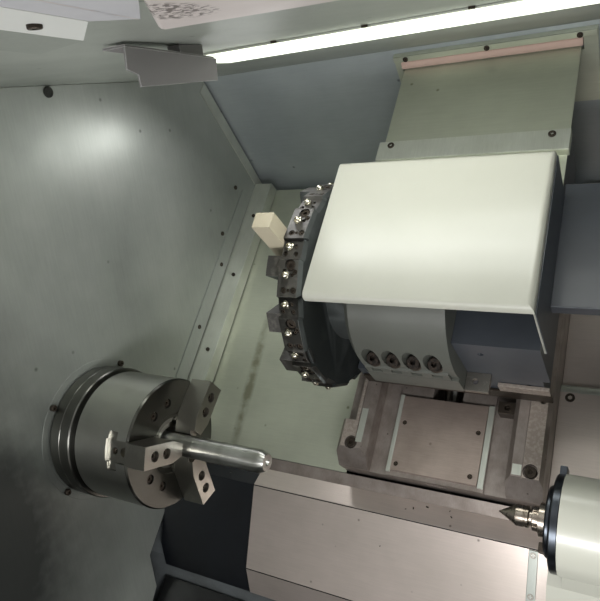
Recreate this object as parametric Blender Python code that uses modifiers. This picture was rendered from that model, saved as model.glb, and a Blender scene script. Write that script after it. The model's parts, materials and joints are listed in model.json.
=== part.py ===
# Slant-bed turning lathe with its front door open.
# Metres, +Z up, +X along the spindle towards the tailstock, -Y is the operator's side.
# "Level" places are measured from the centre of the chuck's face as x, y, z.
# "Slant" places are measured from the same point as x, s up the slope and n out of it.
# A size that ends in OUT is a place along n, and one that ends in S is a place along s.
import math

import bmesh
import bpy
from mathutils import Matrix, Vector

# Driving dimensions
SPINDLE_HEIGHT = 1.010
FOOT_HIGH = 0.050
FLOOR_CLEAR = 0.080
SLANT = math.radians(45)
GAP = 0.0003
OVERRUN = 0.004
SHEET = 0.003
TURN_STEPS = 32
SMALL_STEPS = 14

# Outer casing, measured from the chuck's face and the spindle line
SHELL_LEFT = 0.980
SHELL_RIGHT = 1.120
SHELL_FRONT = 0.600
SHELL_REAR = 0.840
SHELL_TOP = 0.740
SHELL_BOTTOM = SPINDLE_HEIGHT - FLOOR_CLEAR
PAN_DEPTH = 0.030

# Door and its opening
DOOR_OPENING_LEFT = 0.100
DOOR_OPENING_RIGHT = 0.740
DOOR_OPENING_TOP = 0.550
DOOR_OPENING_BOTTOM = 0.300
DOOR_LAP = 0.020
DOOR_THICK = 0.028
DOOR_STANDOFF = 0.012
DOOR_TRAVEL = 0.800
DOOR_FRAME_WIDE = 0.110
DOOR_WINDOW_RAISE = 0.210
WINDOW_THICK = 0.008
TRACK_HIGH = 0.038
TRACK_DEEP = 0.050
TRACK_LAP = 0.040
HANDLE_RADIUS = 0.009
HANDLE_INSET = 0.035
HANDLE_FOOT = 0.020
HANDLE_LONG = 0.250
HANDLE_REACH = 0.030

# Control console
CONSOLE_LEFT = 0.800
CONSOLE_WIDE = 0.300
CONSOLE_LOW = 0.060
CONSOLE_HIGH = 0.460
CONSOLE_DEEP = 0.076
CONSOLE_BEVEL = 0.012
CONSOLE_SEGMENTS = 2
SCREEN_MARGIN = 0.030
SCREEN_HIGH = 0.180
SCREEN_DEEP = 0.003
STOP_RADIUS = 0.020
STOP_HEAD = 0.018
STOP_STEM_RADIUS = 0.008
STOP_STEM = 0.012
STOP_STANDOFF = 0.006
STOP_TRAVEL = 0.005
STOP_ABOVE_LOW = 0.070
FRONT_REACH = SHELL_FRONT + CONSOLE_DEEP + STOP_STANDOFF + STOP_HEAD

# Working chamber
WALL_X = 0.165
RIGHT_WALL_X = 0.905
CEILING = 0.572
CHAMBER_SETBACK = 0.0056
WALL_HOLE_RADIUS = 0.118
WALL_LOW_OUT = 0.182
RIGHT_WALL_LOW_OUT = 0.198
WALL_STEP_S = 0.036
WALL_STEP_OUT = 0.250
WALL_FOOT_S = 0.182
FACET_FOOT_S = 0.664
FACET_FOOT_OUT = 0.245
FACET_HEAD_S = 0.7214
FACET_HEAD_OUT = 0.0872
NOSE_RING_INNER = 0.090
NOSE_RING_OUTER = 0.135
NOSE_RING_THICK = 0.0035
STRIP_TOP_OUT = 0.180
STRIP_WIDE = 0.045
STRIP_DROP = 0.0275
STRIP_SHEET = 0.002
STRIP_LOW_S = 0.060
STRIP_HIGH_S = 0.650

# Chip pan, as a run of corners below the spindle line
PAN_REAR_Y = 0.080
PAN_REAR_Z = 0.380
PAN_FLOOR_REAR_Y = 0.100
PAN_FLOOR_FRONT_Y = 0.420
PAN_FLOOR_Z = 0.560
PAN_FRONT_Z = 0.360

# Work lamp and the bracket at the ceiling
LAMP_LEFT = 0.145
LAMP_RIGHT = 0.620
LAMP_FRONT = 0.015
LAMP_REAR = 0.095
LAMP_DROP = 0.006
LAMP_RISE = 0.018
BRACKET_RIGHT = 0.300
BRACKET_WIDE = 0.085
BRACKET_FRONT = 0.290
BRACKET_REAR = 0.045
BRACKET_DROP = 0.016
BRACKET_LIP = 0.018
BRACKET_SHEET = 0.002
BRACKET_SLOT_LONG = 0.030
BRACKET_SLOT_WIDE = 0.009

# Fixed frame
BASE_TOP = 0.620
BASE_BOTTOM = SPINDLE_HEIGHT - FOOT_HIGH
BASE_FRONT = 0.360
BASE_WALL = 0.016
FOOT_RADIUS = 0.050
FOOT_INSET = 0.110
FOOT_BURY = 0.006
FOOT_COLUMNS = 3
BED_LEFT = 0.620
BED_RIGHT = 1.020
BED_OUT = 0.300
BED_LOW_S = 0.175
BED_HIGH_S = 0.580
BED_WALL = 0.060
WAY_TOP_OUT = 0.2585
WAY_WIDE = 0.070
WAY_LOW_S = 0.060
WAY_HIGH_S = 0.480
TAIL_WAY_TOP_OUT = 0.288
TAIL_WAY_WIDE = 0.045
TAIL_WAY_LOW_S = 0.165
TAIL_WAY_HIGH_S = 0.060

# Spindle line, axial places negative towards the headstock
CHUCK_RADIUS = 0.105
CHUCK_LONG = 0.111
CHUCK_EDGE = 0.003
CHUCK_BORE = 0.026
CHUCK_RECESS_RADIUS = 0.049
CHUCK_RECESS = 0.003
CHUCK_SCREW_CIRCLE = 0.069
CHUCK_SCREW_RADIUS = 0.0075
CHUCK_SCREW_DEEP = 0.009
CHUCK_SCREW_SPREAD = math.radians(14.5)
PLATE_RADIUS = 0.110
PLATE_BACK = 0.160
PLATE_GROOVE = 0.007
PLATE_GROOVE_RADIUS = 0.096
PLATE_BORE = 0.030
JAW_COUNT = 3
JAW_FIRST = math.radians(115)
JAW_TRAVEL = 0.0037
MASTER_WIDE = 0.034
MASTER_DEEP = 0.040
MASTER_INNER = 0.034
MASTER_OUTER = 0.1035
MASTER_SINK = 0.0025
SLOT_CLEAR = 0.0005
SLOT_INNER = 0.030
JAW_WIDE = 0.0348
JAW_HIGH = 0.040
JAW_OUTER = 0.108
JAW_SHOULDER = 0.046
JAW_NOSE_WIDE = 0.015
JAW_BOLT_INNER = 0.060
JAW_BOLT_OUTER = 0.086
JAW_BOLT_RADIUS = 0.0078
JAW_BOLT_DEEP = 0.014
BAR_RADIUS = 0.0175
BAR_RIGHT = 0.182
BAR_LEFT = 0.060
BAR_TAPER = 0.010
BAR_TAPER_RADIUS = 0.0135
BAR_CENTRE_RADIUS = 0.005
BAR_CENTRE_DEEP = 0.008
SHAFT_RADIUS = 0.060
SHAFT_NOSE_RADIUS = 0.085
SHAFT_NOSE_BACK = 0.186
SHAFT_NECK_BACK = 0.560
SHAFT_REAR_RADIUS = 0.040
SHAFT_REAR = 0.700
SHAFT_BORE = 0.026
CARTRIDGE_FLANGE_RADIUS = 0.112
CARTRIDGE_FLANGE = 0.014
CARTRIDGE_BACK = 0.545
HEADSTOCK_FRONT = 0.204
HEADSTOCK_BACK = 0.550
HEADSTOCK_BORE = 0.088
HEADSTOCK_LOW_S = 0.190
HEADSTOCK_HIGH_S = 0.190
HEADSTOCK_STEP_S = 0.030
HEADSTOCK_STEP_OUT = 0.150
HEADSTOCK_TOP_OUT = 0.170
HEADSTOCK_FOOT_S = 0.168
HEADSTOCK_CHAMFER = 0.045
PULLEY_FRONT = 0.585
PULLEY_BACK = 0.645
SPINDLE_PULLEY_RADIUS = 0.085
MOTOR_PULLEY_RADIUS = 0.060
PULLEY_GROOVE = 0.004
PULLEY_GROOVES = 4
CYLINDER_RADIUS = 0.080
CYLINDER_BACK = 0.870
CYLINDER_STEP_RADIUS = 0.052
CYLINDER_STEP = 0.050
CYLINDER_BORE = 0.020
MOTOR_Y = -0.200
MOTOR_Z = -0.420
MOTOR_RADIUS = 0.105
MOTOR_FRONT = 0.190
MOTOR_BACK = 0.545
MOTOR_FOOT_WIDE = 0.180
MOTOR_SHAFT_RADIUS = 0.019
MOTOR_SHAFT_BACK = 0.640
BELT_THICK = 0.006
BELT_INSET = 0.004
BELT_ARC_STEPS = 14

# Carriage (saddle), in slant places
SADDLE_LEFT = 0.217
SADDLE_RIGHT = 0.546
SADDLE_LOW_S = 0.047
SADDLE_HIGH_S = 0.560
SADDLE_BOTTOM_OUT = 0.2582
SADDLE_SIDE_OUT = 0.150
SADDLE_WAY_OUT = 0.140
SADDLE_FLOOR_OUT = 0.182
SADDLE_BOSS_OUT = 0.176
SADDLE_LEFT_WAY = 0.225
SADDLE_LEFT_WAY_WIDE = 0.037
SADDLE_RIGHT_WAY = 0.501
SADDLE_RIGHT_WAY_WIDE = 0.040
SADDLE_WAY_SLOPE = 0.008
SADDLE_BOSS_LEFT = 0.300
SADDLE_BOSS_RIGHT = 0.459
SADDLE_END_CUT = 0.030
SADDLE_POCKET_RIGHT = 0.243
SADDLE_POCKET_OUT = 0.170
SADDLE_POCKET_LOW_S = 0.120
SADDLE_POCKET_HIGH_S = 0.465
SCREW_GROOVE_WIDE = 0.050
SCREW_GROOVE_OUT = 0.235
SCREW_GROOVE_LOW_S = 0.080
SCREW_GROOVE_HIGH_S = 0.530
SADDLE_SLOT_X = 0.381
SADDLE_SLOT_OUT = 0.196
SADDLE_SLOT_LONG = 0.034
SADDLE_SLOT_WIDE = 0.010
SADDLE_SLOT_DEEP = 0.008
PLATE_LEFT = 0.308
PLATE_RIGHT = 0.449
PLATE_LOW_S = 0.055
PLATE_HIGH_S = 0.182
PLATE_OUT = 0.170
CARRIAGE_LEFT_TRAVEL = 0.115
CARRIAGE_RIGHT_TRAVEL = 0.120
COVER_OUT = 0.210
COVER_LOW_S = 0.042
COVER_HIGH_S = 0.650
LEFT_COVER_END = 0.300
RIGHT_COVER_END = 0.930
UPPER_COVER_RIGHT = 0.985
RIGHT_COVER_HIGH_S = 0.250
RIGHT_COVER_ROLL = 0.016

# Feed screws and servo motors
Z_SCREW_S = 0.320
Z_SCREW_OUT = 0.262
Z_SCREW_RADIUS = 0.016
Z_SCREW_LEFT = 0.080
Z_SCREW_RIGHT = 0.745
Z_BLOCK_LONG = 0.040
Z_BLOCK_HALF = 0.027
Z_LEFT_BLOCK = 0.060
Z_RIGHT_BLOCK = 0.695
Z_MOTOR_HALF = 0.030
Z_MOTOR_LONG = 0.150
Z_NUT_LEFT = 0.340
Z_NUT_LONG = 0.060
Z_NUT_HALF = 0.027
Z_TUNNEL_HALF = 0.024
X_SCREW_X = 0.380
X_SCREW_OUT = 0.205
X_SCREW_RADIUS = 0.012
X_MOTOR_HALF = 0.040
X_MOTOR_LONG = 0.090
X_NUT_LOW_S = 0.320
X_NUT_LONG = 0.060
X_NUT_HALF = 0.019

# Cross slide and turret, in slant places
SLIDE_LOW_S = 0.195
SLIDE_HIGH_S = 0.560
SLIDE_LEFT = 0.246
SLIDE_LEFT_TOP_OUT = 0.092
SLIDE_TOP_OUT = 0.060
SLIDE_COLUMN_OUT = 0.052
SLIDE_BACK_LEFT = 0.265
SLIDE_DOWN_TRAVEL = 0.070
SLIDE_UP_TRAVEL = 0.070
TURRET_S = 0.300
HOUSING_LEFT = 0.287
HOUSING_RIGHT = 0.4367
HOUSING_RADIUS = 0.130
HOUSING_FOOT_S = 0.178
HOUSING_FOOT_OUT = 0.020
HOUSING_POCKETS = 4
HOUSING_POCKET_RADIUS = 0.0115
HOUSING_POCKET_PITCH = 0.033
HOUSING_POCKET_FIRST = 0.313
HOUSING_POCKET_S = 0.190
HOUSING_ARC_STEPS = 26
DISC_LEFT = 0.203
DISC_RIGHT = 0.240
DISC_RADIUS = 0.165
DISC_GROOVE = 0.005
DISC_STATIONS = 12
DISC_FIRST = math.radians(84)
DISC_WIDE_HALF = math.radians(9.6)
DISC_NARROW_HALF = math.radians(4.6)
DISC_HUB_RADIUS = 0.085
DISC_CAP_RADIUS = 0.070
DISC_CAP = 0.014
CLAMP_LEFT = 0.181
CLAMP_WIDE = 0.030
CLAMP_INNER = 0.112
CLAMP_OUTER = 0.160
CLAMP_BURY = 0.002
CLAMP_OFFSET = math.radians(-6)
TOOL_THICK = 0.030
TOOL_WIDE = 0.025
TOOL_LOW_S = 0.282
TOOL_INNER_OUT = 0.112
TOOL_OUTER_OUT = 0.205
HOOD_LEFT = 0.251
HOOD_RIGHT = 0.554
HOOD_LOW_S = 0.204
HOOD_HIGH_S = 0.432
HOOD_TOP_OUT = 0.152
HOOD_LIP = 0.014
HOOD_REAR_DROP = 0.112
HOOD_SIDE_DROP = 0.132
HOOD_CORNER = 0.009
HOOD_SEGMENTS = 3
GUARD_RIGHT = 0.770
GUARD_LOW_S = 0.258
GUARD_HIGH_S = 0.451
GUARD_TOP_OUT = 0.050
GUARD_THICK = 0.020
WAY_COVER_RIGHT = 0.553
WAY_COVER_HIGH_S = 0.890
RETAINER_LOW_S = 0.497
RETAINER_WIDE = 0.037
RETAINER_THICK = 0.012
RETAINER_LAP = 0.003
WIPER_LEFT = 0.250
WIPER_RIGHT = 0.577
WIPER_LOW = 0.198
WIPER_HIGH = 0.330
WIPER_THICK = 0.008
WIPER_SIDE_CLEAR = 0.003
WIPER_SLOT_LOW = 0.008
WIPER_SLOT_HIGH = 0.016

# Tailstock, its quill and the covers of its ways
TAIL_LEFT = 0.593
TAIL_RIGHT = 0.800
TAIL_RADIUS = 0.058
TAIL_FOOT_LEFT = 0.575
TAIL_FOOT_LOW_S = 0.170
TAIL_FOOT_HIGH_S = 0.030
TAIL_FOOT_HIGH = 0.050
TAIL_NECK_LOW_S = 0.150
TAIL_NECK_S = 0.066
TAIL_NECK_OUT = 0.062
TAIL_LEFT_TRAVEL = 0.080
TAIL_RIGHT_TRAVEL = 0.070
QUILL_RADIUS = 0.042
QUILL_FRONT = 0.5763
QUILL_BACK = 0.755
QUILL_BORE = 0.0095
QUILL_BORE_DEEP = 0.050
QUILL_TRAVEL = 0.080
QUILL_CHAMFER = 0.0025
CENTRE_TIP = 0.519
CENTRE_CONE = 0.021
CENTRE_RADIUS = 0.013
CENTRE_BODY = 0.012
CENTRE_NECK_RADIUS = 0.010
CENTRE_NECK = 0.006
CENTRE_NUT_RADIUS = 0.015
CENTRE_NUT = 0.009
CENTRE_FLANGE_RADIUS = 0.020
CENTRE_SHANK = 0.040
TAIL_COVER_LEFT = 0.046
FRONT_COVER_RIGHT = 0.440
FRONT_COVER_SINK = 0.010
# The folds of the bent covers over the tailstock's ways, below the spindle line but for the lip's s place
LIP_S = 0.021
LIP_OUT = 0.222
RIDGE_S = 0.012
RIDGE_OUT = 0.207
FACE_S = 0.153
FACE_OUT = 0.262
SKIRT_S = 0.190
SKIRT_OUT = 0.300
BAND_S = 0.040
BAND_OUT = 0.216

PART_NAME = "turning_lathe"

# Colours as the photograph shows them, with roughness and metallic
STAINLESS = ((0.46, 0.49, 0.46), 0.42, 0.85)
COVER_GREEN = ((0.50, 0.54, 0.48), 0.40, 0.80)
COVER_PINK = ((0.58, 0.52, 0.48), 0.38, 0.80)
BRIGHT_STEEL = ((0.62, 0.61, 0.59), 0.25, 1.0)
DARK_STEEL = ((0.10, 0.10, 0.10), 0.45, 0.90)
BLUED_STEEL = ((0.16, 0.18, 0.21), 0.40, 0.80)
CREAM = ((0.74, 0.74, 0.68), 0.40, 0.0)
GREY_PAINT = ((0.42, 0.43, 0.42), 0.50, 0.0)
SLATE_PAINT = ((0.12, 0.14, 0.17), 0.45, 0.0)
NAVY = ((0.03, 0.04, 0.06), 0.50, 0.10)
CAST_PAINT = ((0.30, 0.32, 0.33), 0.60, 0.0)
SHELL_WHITE = ((0.78, 0.79, 0.77), 0.45, 0.0)
LAMP_WHITE = ((0.93, 0.96, 0.86), 0.30, 0.0)
RUBBER_BLACK = ((0.03, 0.03, 0.03), 0.80, 0.0)
CARDBOARD = ((0.62, 0.58, 0.48), 0.70, 0.0)
STOP_RED = ((0.55, 0.03, 0.02), 0.35, 0.0)
GLASS_TINT = ((0.35, 0.42, 0.42), 0.05, 0.0)

AXIS_TURNS = {
    "X": (0.0, math.pi / 2, 0.0),
    "S": (-math.pi / 2, 0.0, 0.0),
    "Y": (-math.pi / 2, 0.0, 0.0),
}
# Turns that lay an outline's own plane on two of the frame's axes
PLANE_TURNS = {
    "SN": (math.pi / 2, 0.0, math.pi / 2),
    "XZ": (math.pi / 2, 0.0, 0.0),
    "XS": (0.0, 0.0, 0.0),
}


def clear_scene():
    for old in list(bpy.data.objects):
        bpy.data.objects.remove(old, do_unlink=True)


def make_collection(name):
    collection = bpy.data.collections.new(name)
    bpy.context.scene.collection.children.link(collection)
    return collection


clear_scene()
PARTS = make_collection(PART_NAME)
CUTTERS = make_collection("cutters")


def surface(name, finish):
    colour, roughness, metallic = finish
    material = bpy.data.materials.new(name + "_finish")
    material.use_nodes = True
    shader = material.node_tree.nodes["Principled BSDF"]
    shader.inputs["Base Color"].default_value = (*colour, 1.0)
    shader.inputs["Roughness"].default_value = roughness
    shader.inputs["Metallic"].default_value = metallic
    material.diffuse_color = (*colour, 1.0)
    return material


def empty(name, parent=None, location=(0, 0, 0), rotation=(0, 0, 0)):
    marker = bpy.data.objects.new(name, None)
    PARTS.objects.link(marker)
    marker.parent = parent
    marker.location = location
    marker.rotation_euler = rotation
    return marker


def place(name, mesh, parent, finish=None, location=(0, 0, 0), rotation=(0, 0, 0)):
    piece = bpy.data.objects.new(name, mesh)
    if finish is None:
        CUTTERS.objects.link(piece)
        piece.display_type = "WIRE"
        piece.hide_render = True
    else:
        PARTS.objects.link(piece)
        mesh.materials.append(surface(name, finish))
    piece.parent = parent
    piece.location = location
    piece.rotation_euler = rotation
    return piece


def box_mesh(name, low, high):
    mesh = bpy.data.meshes.new(name)
    bm = bmesh.new()
    size = [b - a for a, b in zip(low, high)]
    middle = [(a + b) / 2 for a, b in zip(low, high)]
    matrix = Matrix.Translation(middle) @ Matrix.Diagonal((*size, 1))
    bmesh.ops.create_cube(bm, size=1, matrix=matrix)
    bm.to_mesh(mesh)
    bm.free()
    return mesh


def box(name, low, high, parent, finish=None):
    return place(name, box_mesh(name, low, high), parent, finish)


def smooth(mesh, angle=math.radians(32)):
    mesh.shade_smooth()
    mesh.set_sharp_from_angle(angle=angle)


def turned(name, profile, parent, finish=None, axis="X", location=(0, 0, 0),
           steps=TURN_STEPS, closed=False, offset=0.0):
    """A turned piece from (radius, axial) points that run down its outer side from the high end."""
    mesh = bpy.data.meshes.new(name)
    bm = bmesh.new()
    points = [bm.verts.new((radius, 0, axial)) for radius, axial in profile]
    for first, second in zip(points, points[1:]):
        bm.edges.new((first, second))
    if closed:
        bm.edges.new((points[-1], points[0]))
    if offset:
        bmesh.ops.rotate(bm, cent=(0, 0, 0), matrix=Matrix.Rotation(offset, 3, "Z"), verts=bm.verts)
    bm.to_mesh(mesh)
    bm.free()
    piece = place(name, mesh, parent, finish, location, AXIS_TURNS[axis])
    screw = piece.modifiers.new("Turn", "SCREW")
    screw.steps = steps
    screw.render_steps = steps
    screw.use_merge_vertices = True
    screw.merge_threshold = 0.00001
    screw.use_smooth_shade = True
    return piece


def rod(name, radius, start, end, parent, finish=None, axis="X", location=(0, 0, 0), steps=SMALL_STEPS):
    profile = [(0, end), (radius, end), (radius, start), (0, start)]
    return turned(name, profile, parent, finish, axis, location, steps)


def plate(name, outline, start, end, plane, parent, finish=None, holes=()):
    """A flat outline with its holes, extruded from start to end across its plane."""
    data = bpy.data.curves.new(name, "CURVE")
    data.dimensions = "2D"
    data.fill_mode = "BOTH"
    data.extrude = abs(end - start) / 2
    for loop in (outline, *holes):
        spline = data.splines.new("POLY")
        spline.points.add(len(loop) - 1)
        for point, (u, v) in zip(spline.points, loop):
            point.co = (u, v, 0, 1)
        spline.use_cyclic_u = True
    middle = (start + end) / 2
    location = {"SN": (middle, 0, 0), "XZ": (0, middle, 0), "XS": (0, 0, middle)}[plane]
    curve = bpy.data.objects.new(name + "_outline", data)
    PARTS.objects.link(curve)
    curve.parent = parent
    curve.location = location
    curve.rotation_euler = PLANE_TURNS[plane]
    bpy.context.view_layer.update()
    evaluated = curve.evaluated_get(bpy.context.evaluated_depsgraph_get())
    mesh = bpy.data.meshes.new_from_object(evaluated)
    mesh.name = name
    bm = bmesh.new()
    bm.from_mesh(mesh)
    bmesh.ops.remove_doubles(bm, verts=bm.verts, dist=0.00001)
    bm.to_mesh(mesh)
    bm.free()
    matrix = curve.matrix_world.copy()
    bpy.data.objects.remove(curve, do_unlink=True)
    piece = place(name, mesh, parent, finish)
    bpy.context.view_layer.update()
    piece.matrix_world = matrix
    return piece


def sheet(name, run, start, end, thick, plane, parent, finish, reach=1.0):
    """A bent sheet: an open strip through the run's points, pulled along X or S and given its thickness."""
    mesh = bpy.data.meshes.new(name)
    bm = bmesh.new()
    if plane == "SN":
        first = [bm.verts.new((start, u, v)) for u, v in run]
        pull = Vector((end - start, 0, 0))
    elif plane == "XN":
        first = [bm.verts.new((u, start, v)) for u, v in run]
        pull = Vector((0, end - start, 0))
    edges = [bm.edges.new(pair) for pair in zip(first, first[1:])]
    grown = bmesh.ops.extrude_edge_only(bm, edges=edges)
    moved = [item for item in grown["geom"] if isinstance(item, bmesh.types.BMVert)]
    bmesh.ops.translate(bm, verts=moved, vec=pull)
    bmesh.ops.recalc_face_normals(bm, faces=bm.faces)
    bm.to_mesh(mesh)
    bm.free()
    piece = place(name, mesh, parent, finish)
    thicken(piece, thick, reach)
    return piece


def thicken(piece, thick, reach=-1.0):
    solid = piece.modifiers.new("Thickness", "SOLIDIFY")
    solid.thickness = thick
    solid.offset = reach
    solid.use_even_offset = True
    return solid


def round_edges(piece, width, segments, angle=math.radians(40)):
    bevel = piece.modifiers.new("Edges", "BEVEL")
    bevel.width = width
    bevel.segments = segments
    bevel.limit_method = "ANGLE"
    bevel.angle_limit = angle
    return bevel


def boolean(piece, tool, operation):
    step = piece.modifiers.new(operation.title(), "BOOLEAN")
    step.operation = operation
    step.solver = "EXACT"
    step.object = tool


def cut(piece, tool):
    boolean(piece, tool, "DIFFERENCE")


def join(piece, tool):
    boolean(piece, tool, "UNION")


def open_pan(name, low, high, open_side, parent, finish, thick=SHEET):
    """A folded sheet-metal pan: a box without one side, with its thickness inwards."""
    mesh = box_mesh(name, low, high)
    bm = bmesh.new()
    bm.from_mesh(mesh)
    way = Vector(open_side)
    gone = [face for face in bm.faces if face.normal.dot(way) > 0.5]
    bmesh.ops.delete(bm, geom=gone, context="FACES")
    bm.to_mesh(mesh)
    bm.free()
    piece = place(name, mesh, parent, finish)
    thicken(piece, thick)
    return piece


def arc(centre, radius, start, end, steps):
    turn = (end - start) / steps
    angles = [start + turn * index for index in range(steps + 1)]
    return [(centre[0] + radius * math.cos(a), centre[1] + radius * math.sin(a)) for a in angles]


def circle(centre, radius, steps=SMALL_STEPS):
    return arc(centre, radius, 0, math.tau * (steps - 1) / steps, steps - 1)


def rectangle(left, low, right, high):
    return [(left, low), (right, low), (right, high), (left, high)]


def level_from_slant(s, n):
    return (s * math.cos(SLANT) - n * math.sin(SLANT), s * math.sin(SLANT) + n * math.cos(SLANT))


def slant_from_level(y, z):
    return (y * math.cos(SLANT) + z * math.sin(SLANT), z * math.cos(SLANT) - y * math.sin(SLANT))


centre_x = (SHELL_LEFT - SHELL_RIGHT) / 2
centre_y = (FRONT_REACH - SHELL_REAR) / 2
level = empty("spindle_line", None, (centre_x, centre_y, SPINDLE_HEIGHT))
slant = empty("slant_frame", level, (0, 0, 0), (SLANT, 0, 0))


def base_frame():
    low = (-SHELL_LEFT + PAN_DEPTH + GAP, -BASE_FRONT, -BASE_BOTTOM)
    high = (SHELL_RIGHT - PAN_DEPTH - GAP, SHELL_REAR - PAN_DEPTH - GAP, -BASE_TOP)
    base = open_pan("machine_base", low, high, (0, 0, -1), level, CAST_PAINT, BASE_WALL)
    left = low[0] + FOOT_INSET
    right = high[0] - FOOT_INSET
    for column in range(FOOT_COLUMNS):
        x = left + (right - left) * column / (FOOT_COLUMNS - 1)
        for side, y in (("front", low[1] + BASE_WALL), ("rear", high[1] - BASE_WALL)):
            y = min(max(y, low[1] + FOOT_RADIUS), high[1] - FOOT_RADIUS)
            name = f"foot_{side}_{column + 1}"
            top = -BASE_BOTTOM + FOOT_BURY
            foot = box(name, (x - FOOT_RADIUS, y - FOOT_RADIUS, -SPINDLE_HEIGHT),
                       (x + FOOT_RADIUS, y + FOOT_RADIUS, top), level)
            join(base, foot)


def bed():
    floor = -BASE_TOP + GAP
    low_y = level_from_slant(-BED_LOW_S, -BED_OUT)[0]
    high_y = level_from_slant(BED_HIGH_S, -BED_OUT)[0]
    outline = [(-BED_LOW_S, -BED_OUT)]
    ways = [(s, TAIL_WAY_WIDE, TAIL_WAY_TOP_OUT) for s in (-TAIL_WAY_LOW_S, -TAIL_WAY_HIGH_S)]
    ways += [(s, WAY_WIDE, WAY_TOP_OUT) for s in (WAY_LOW_S, WAY_HIGH_S)]
    for s, wide, top in ways:
        outline += [(s, -BED_OUT), (s, -top), (s + wide, -top), (s + wide, -BED_OUT)]
    outline += [(BED_HIGH_S, -BED_OUT), slant_from_level(high_y, floor), slant_from_level(low_y, floor)]
    inner_top = -BED_OUT - BED_WALL
    tunnel_low_y = low_y + BED_WALL
    tunnel_high_y = high_y - BED_WALL
    tunnel_floor = floor + BED_WALL
    corner_low = inner_top * math.sqrt(2) + tunnel_low_y
    corner_high = inner_top * math.sqrt(2) + tunnel_high_y
    tunnel = [slant_from_level(tunnel_low_y, corner_low), slant_from_level(tunnel_high_y, corner_high),
              slant_from_level(tunnel_high_y, tunnel_floor), slant_from_level(tunnel_low_y, tunnel_floor)]
    casting = plate("bed_casting", outline, -BED_LEFT, BED_RIGHT, "SN", slant, CAST_PAINT, [tunnel])
    for side, x in (("left", -Z_LEFT_BLOCK), ("right", Z_RIGHT_BLOCK)):
        block = box(f"screw_block_{side}", (x, Z_SCREW_S - Z_BLOCK_HALF, -BED_OUT - OVERRUN),
                    (x + Z_BLOCK_LONG, Z_SCREW_S + Z_BLOCK_HALF, -Z_SCREW_OUT + Z_BLOCK_HALF), slant)
        join(casting, block)
    bore = rod("z_screw_bore", Z_SCREW_RADIUS + GAP, -Z_LEFT_BLOCK - OVERRUN,
               Z_RIGHT_BLOCK + Z_BLOCK_LONG + OVERRUN, slant, None, "X",
               (0, Z_SCREW_S, -Z_SCREW_OUT), TURN_STEPS)
    cut(casting, bore)


def headstock():
    foot = -TAIL_WAY_TOP_OUT + GAP
    chamfer = HEADSTOCK_CHAMFER
    outline = [(-HEADSTOCK_FOOT_S, foot), (HEADSTOCK_STEP_S, foot),
               (HEADSTOCK_STEP_S, -HEADSTOCK_STEP_OUT), (HEADSTOCK_HIGH_S, -HEADSTOCK_STEP_OUT),
               (HEADSTOCK_HIGH_S, HEADSTOCK_TOP_OUT - chamfer), (HEADSTOCK_HIGH_S - chamfer, HEADSTOCK_TOP_OUT),
               (-HEADSTOCK_LOW_S + chamfer, HEADSTOCK_TOP_OUT), (-HEADSTOCK_LOW_S, HEADSTOCK_TOP_OUT - chamfer),
               (-HEADSTOCK_LOW_S, -HEADSTOCK_STEP_OUT), (-HEADSTOCK_FOOT_S, -HEADSTOCK_STEP_OUT - chamfer)]
    plate("headstock_casting", outline, -HEADSTOCK_BACK, -HEADSTOCK_FRONT, "SN", slant, CAST_PAINT,
          [circle((0, 0), HEADSTOCK_BORE, TURN_STEPS)])
    bore = SHAFT_RADIUS + GAP
    sleeve = HEADSTOCK_BORE - GAP * 3
    front = -HEADSTOCK_FRONT + GAP
    profile = [(bore, front + CARTRIDGE_FLANGE), (CARTRIDGE_FLANGE_RADIUS, front + CARTRIDGE_FLANGE),
               (CARTRIDGE_FLANGE_RADIUS, front), (sleeve, front), (sleeve, -CARTRIDGE_BACK),
               (bore, -CARTRIDGE_BACK)]
    turned("spindle_cartridge", profile, level, BLUED_STEEL, closed=True)


def spindle():
    nose = -PLATE_BACK - GAP
    profile = [(SHAFT_BORE, nose), (SHAFT_NOSE_RADIUS, nose), (SHAFT_NOSE_RADIUS, -SHAFT_NOSE_BACK),
               (SHAFT_RADIUS, -SHAFT_NOSE_BACK), (SHAFT_RADIUS, -SHAFT_NECK_BACK),
               (SHAFT_REAR_RADIUS, -SHAFT_NECK_BACK), (SHAFT_REAR_RADIUS, -SHAFT_REAR),
               (SHAFT_BORE, -SHAFT_REAR)]
    turned("spindle_shaft", profile, level, BRIGHT_STEEL, closed=True)
    back = -SHAFT_REAR - GAP
    step = -CYLINDER_BACK + CYLINDER_STEP
    profile = [(CYLINDER_BORE, back), (CYLINDER_RADIUS, back), (CYLINDER_RADIUS, step),
               (CYLINDER_STEP_RADIUS, step), (CYLINDER_STEP_RADIUS, -CYLINDER_BACK),
               (CYLINDER_BORE, -CYLINDER_BACK)]
    turned("rotary_cylinder", profile, level, BLUED_STEEL, closed=True)
    pulley("spindle_pulley", SPINDLE_PULLEY_RADIUS, SHAFT_REAR_RADIUS + GAP, level)


def pulley(name, radius, bore, parent):
    """A pulley with shallow grooves for the ribs of its belt."""
    front = -PULLEY_FRONT
    profile = [(bore, front), (radius, front)]
    pitch = (PULLEY_BACK - PULLEY_FRONT) / (PULLEY_GROOVES * 2 + 1)
    for groove in range(PULLEY_GROOVES):
        start = front - pitch * (groove * 2 + 1)
        profile += [(radius, start), (radius - PULLEY_GROOVE, start - pitch / 2), (radius, start - pitch)]
    profile += [(radius, -PULLEY_BACK), (bore, -PULLEY_BACK)]
    return turned(name, profile, parent, BRIGHT_STEEL, closed=True)


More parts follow.
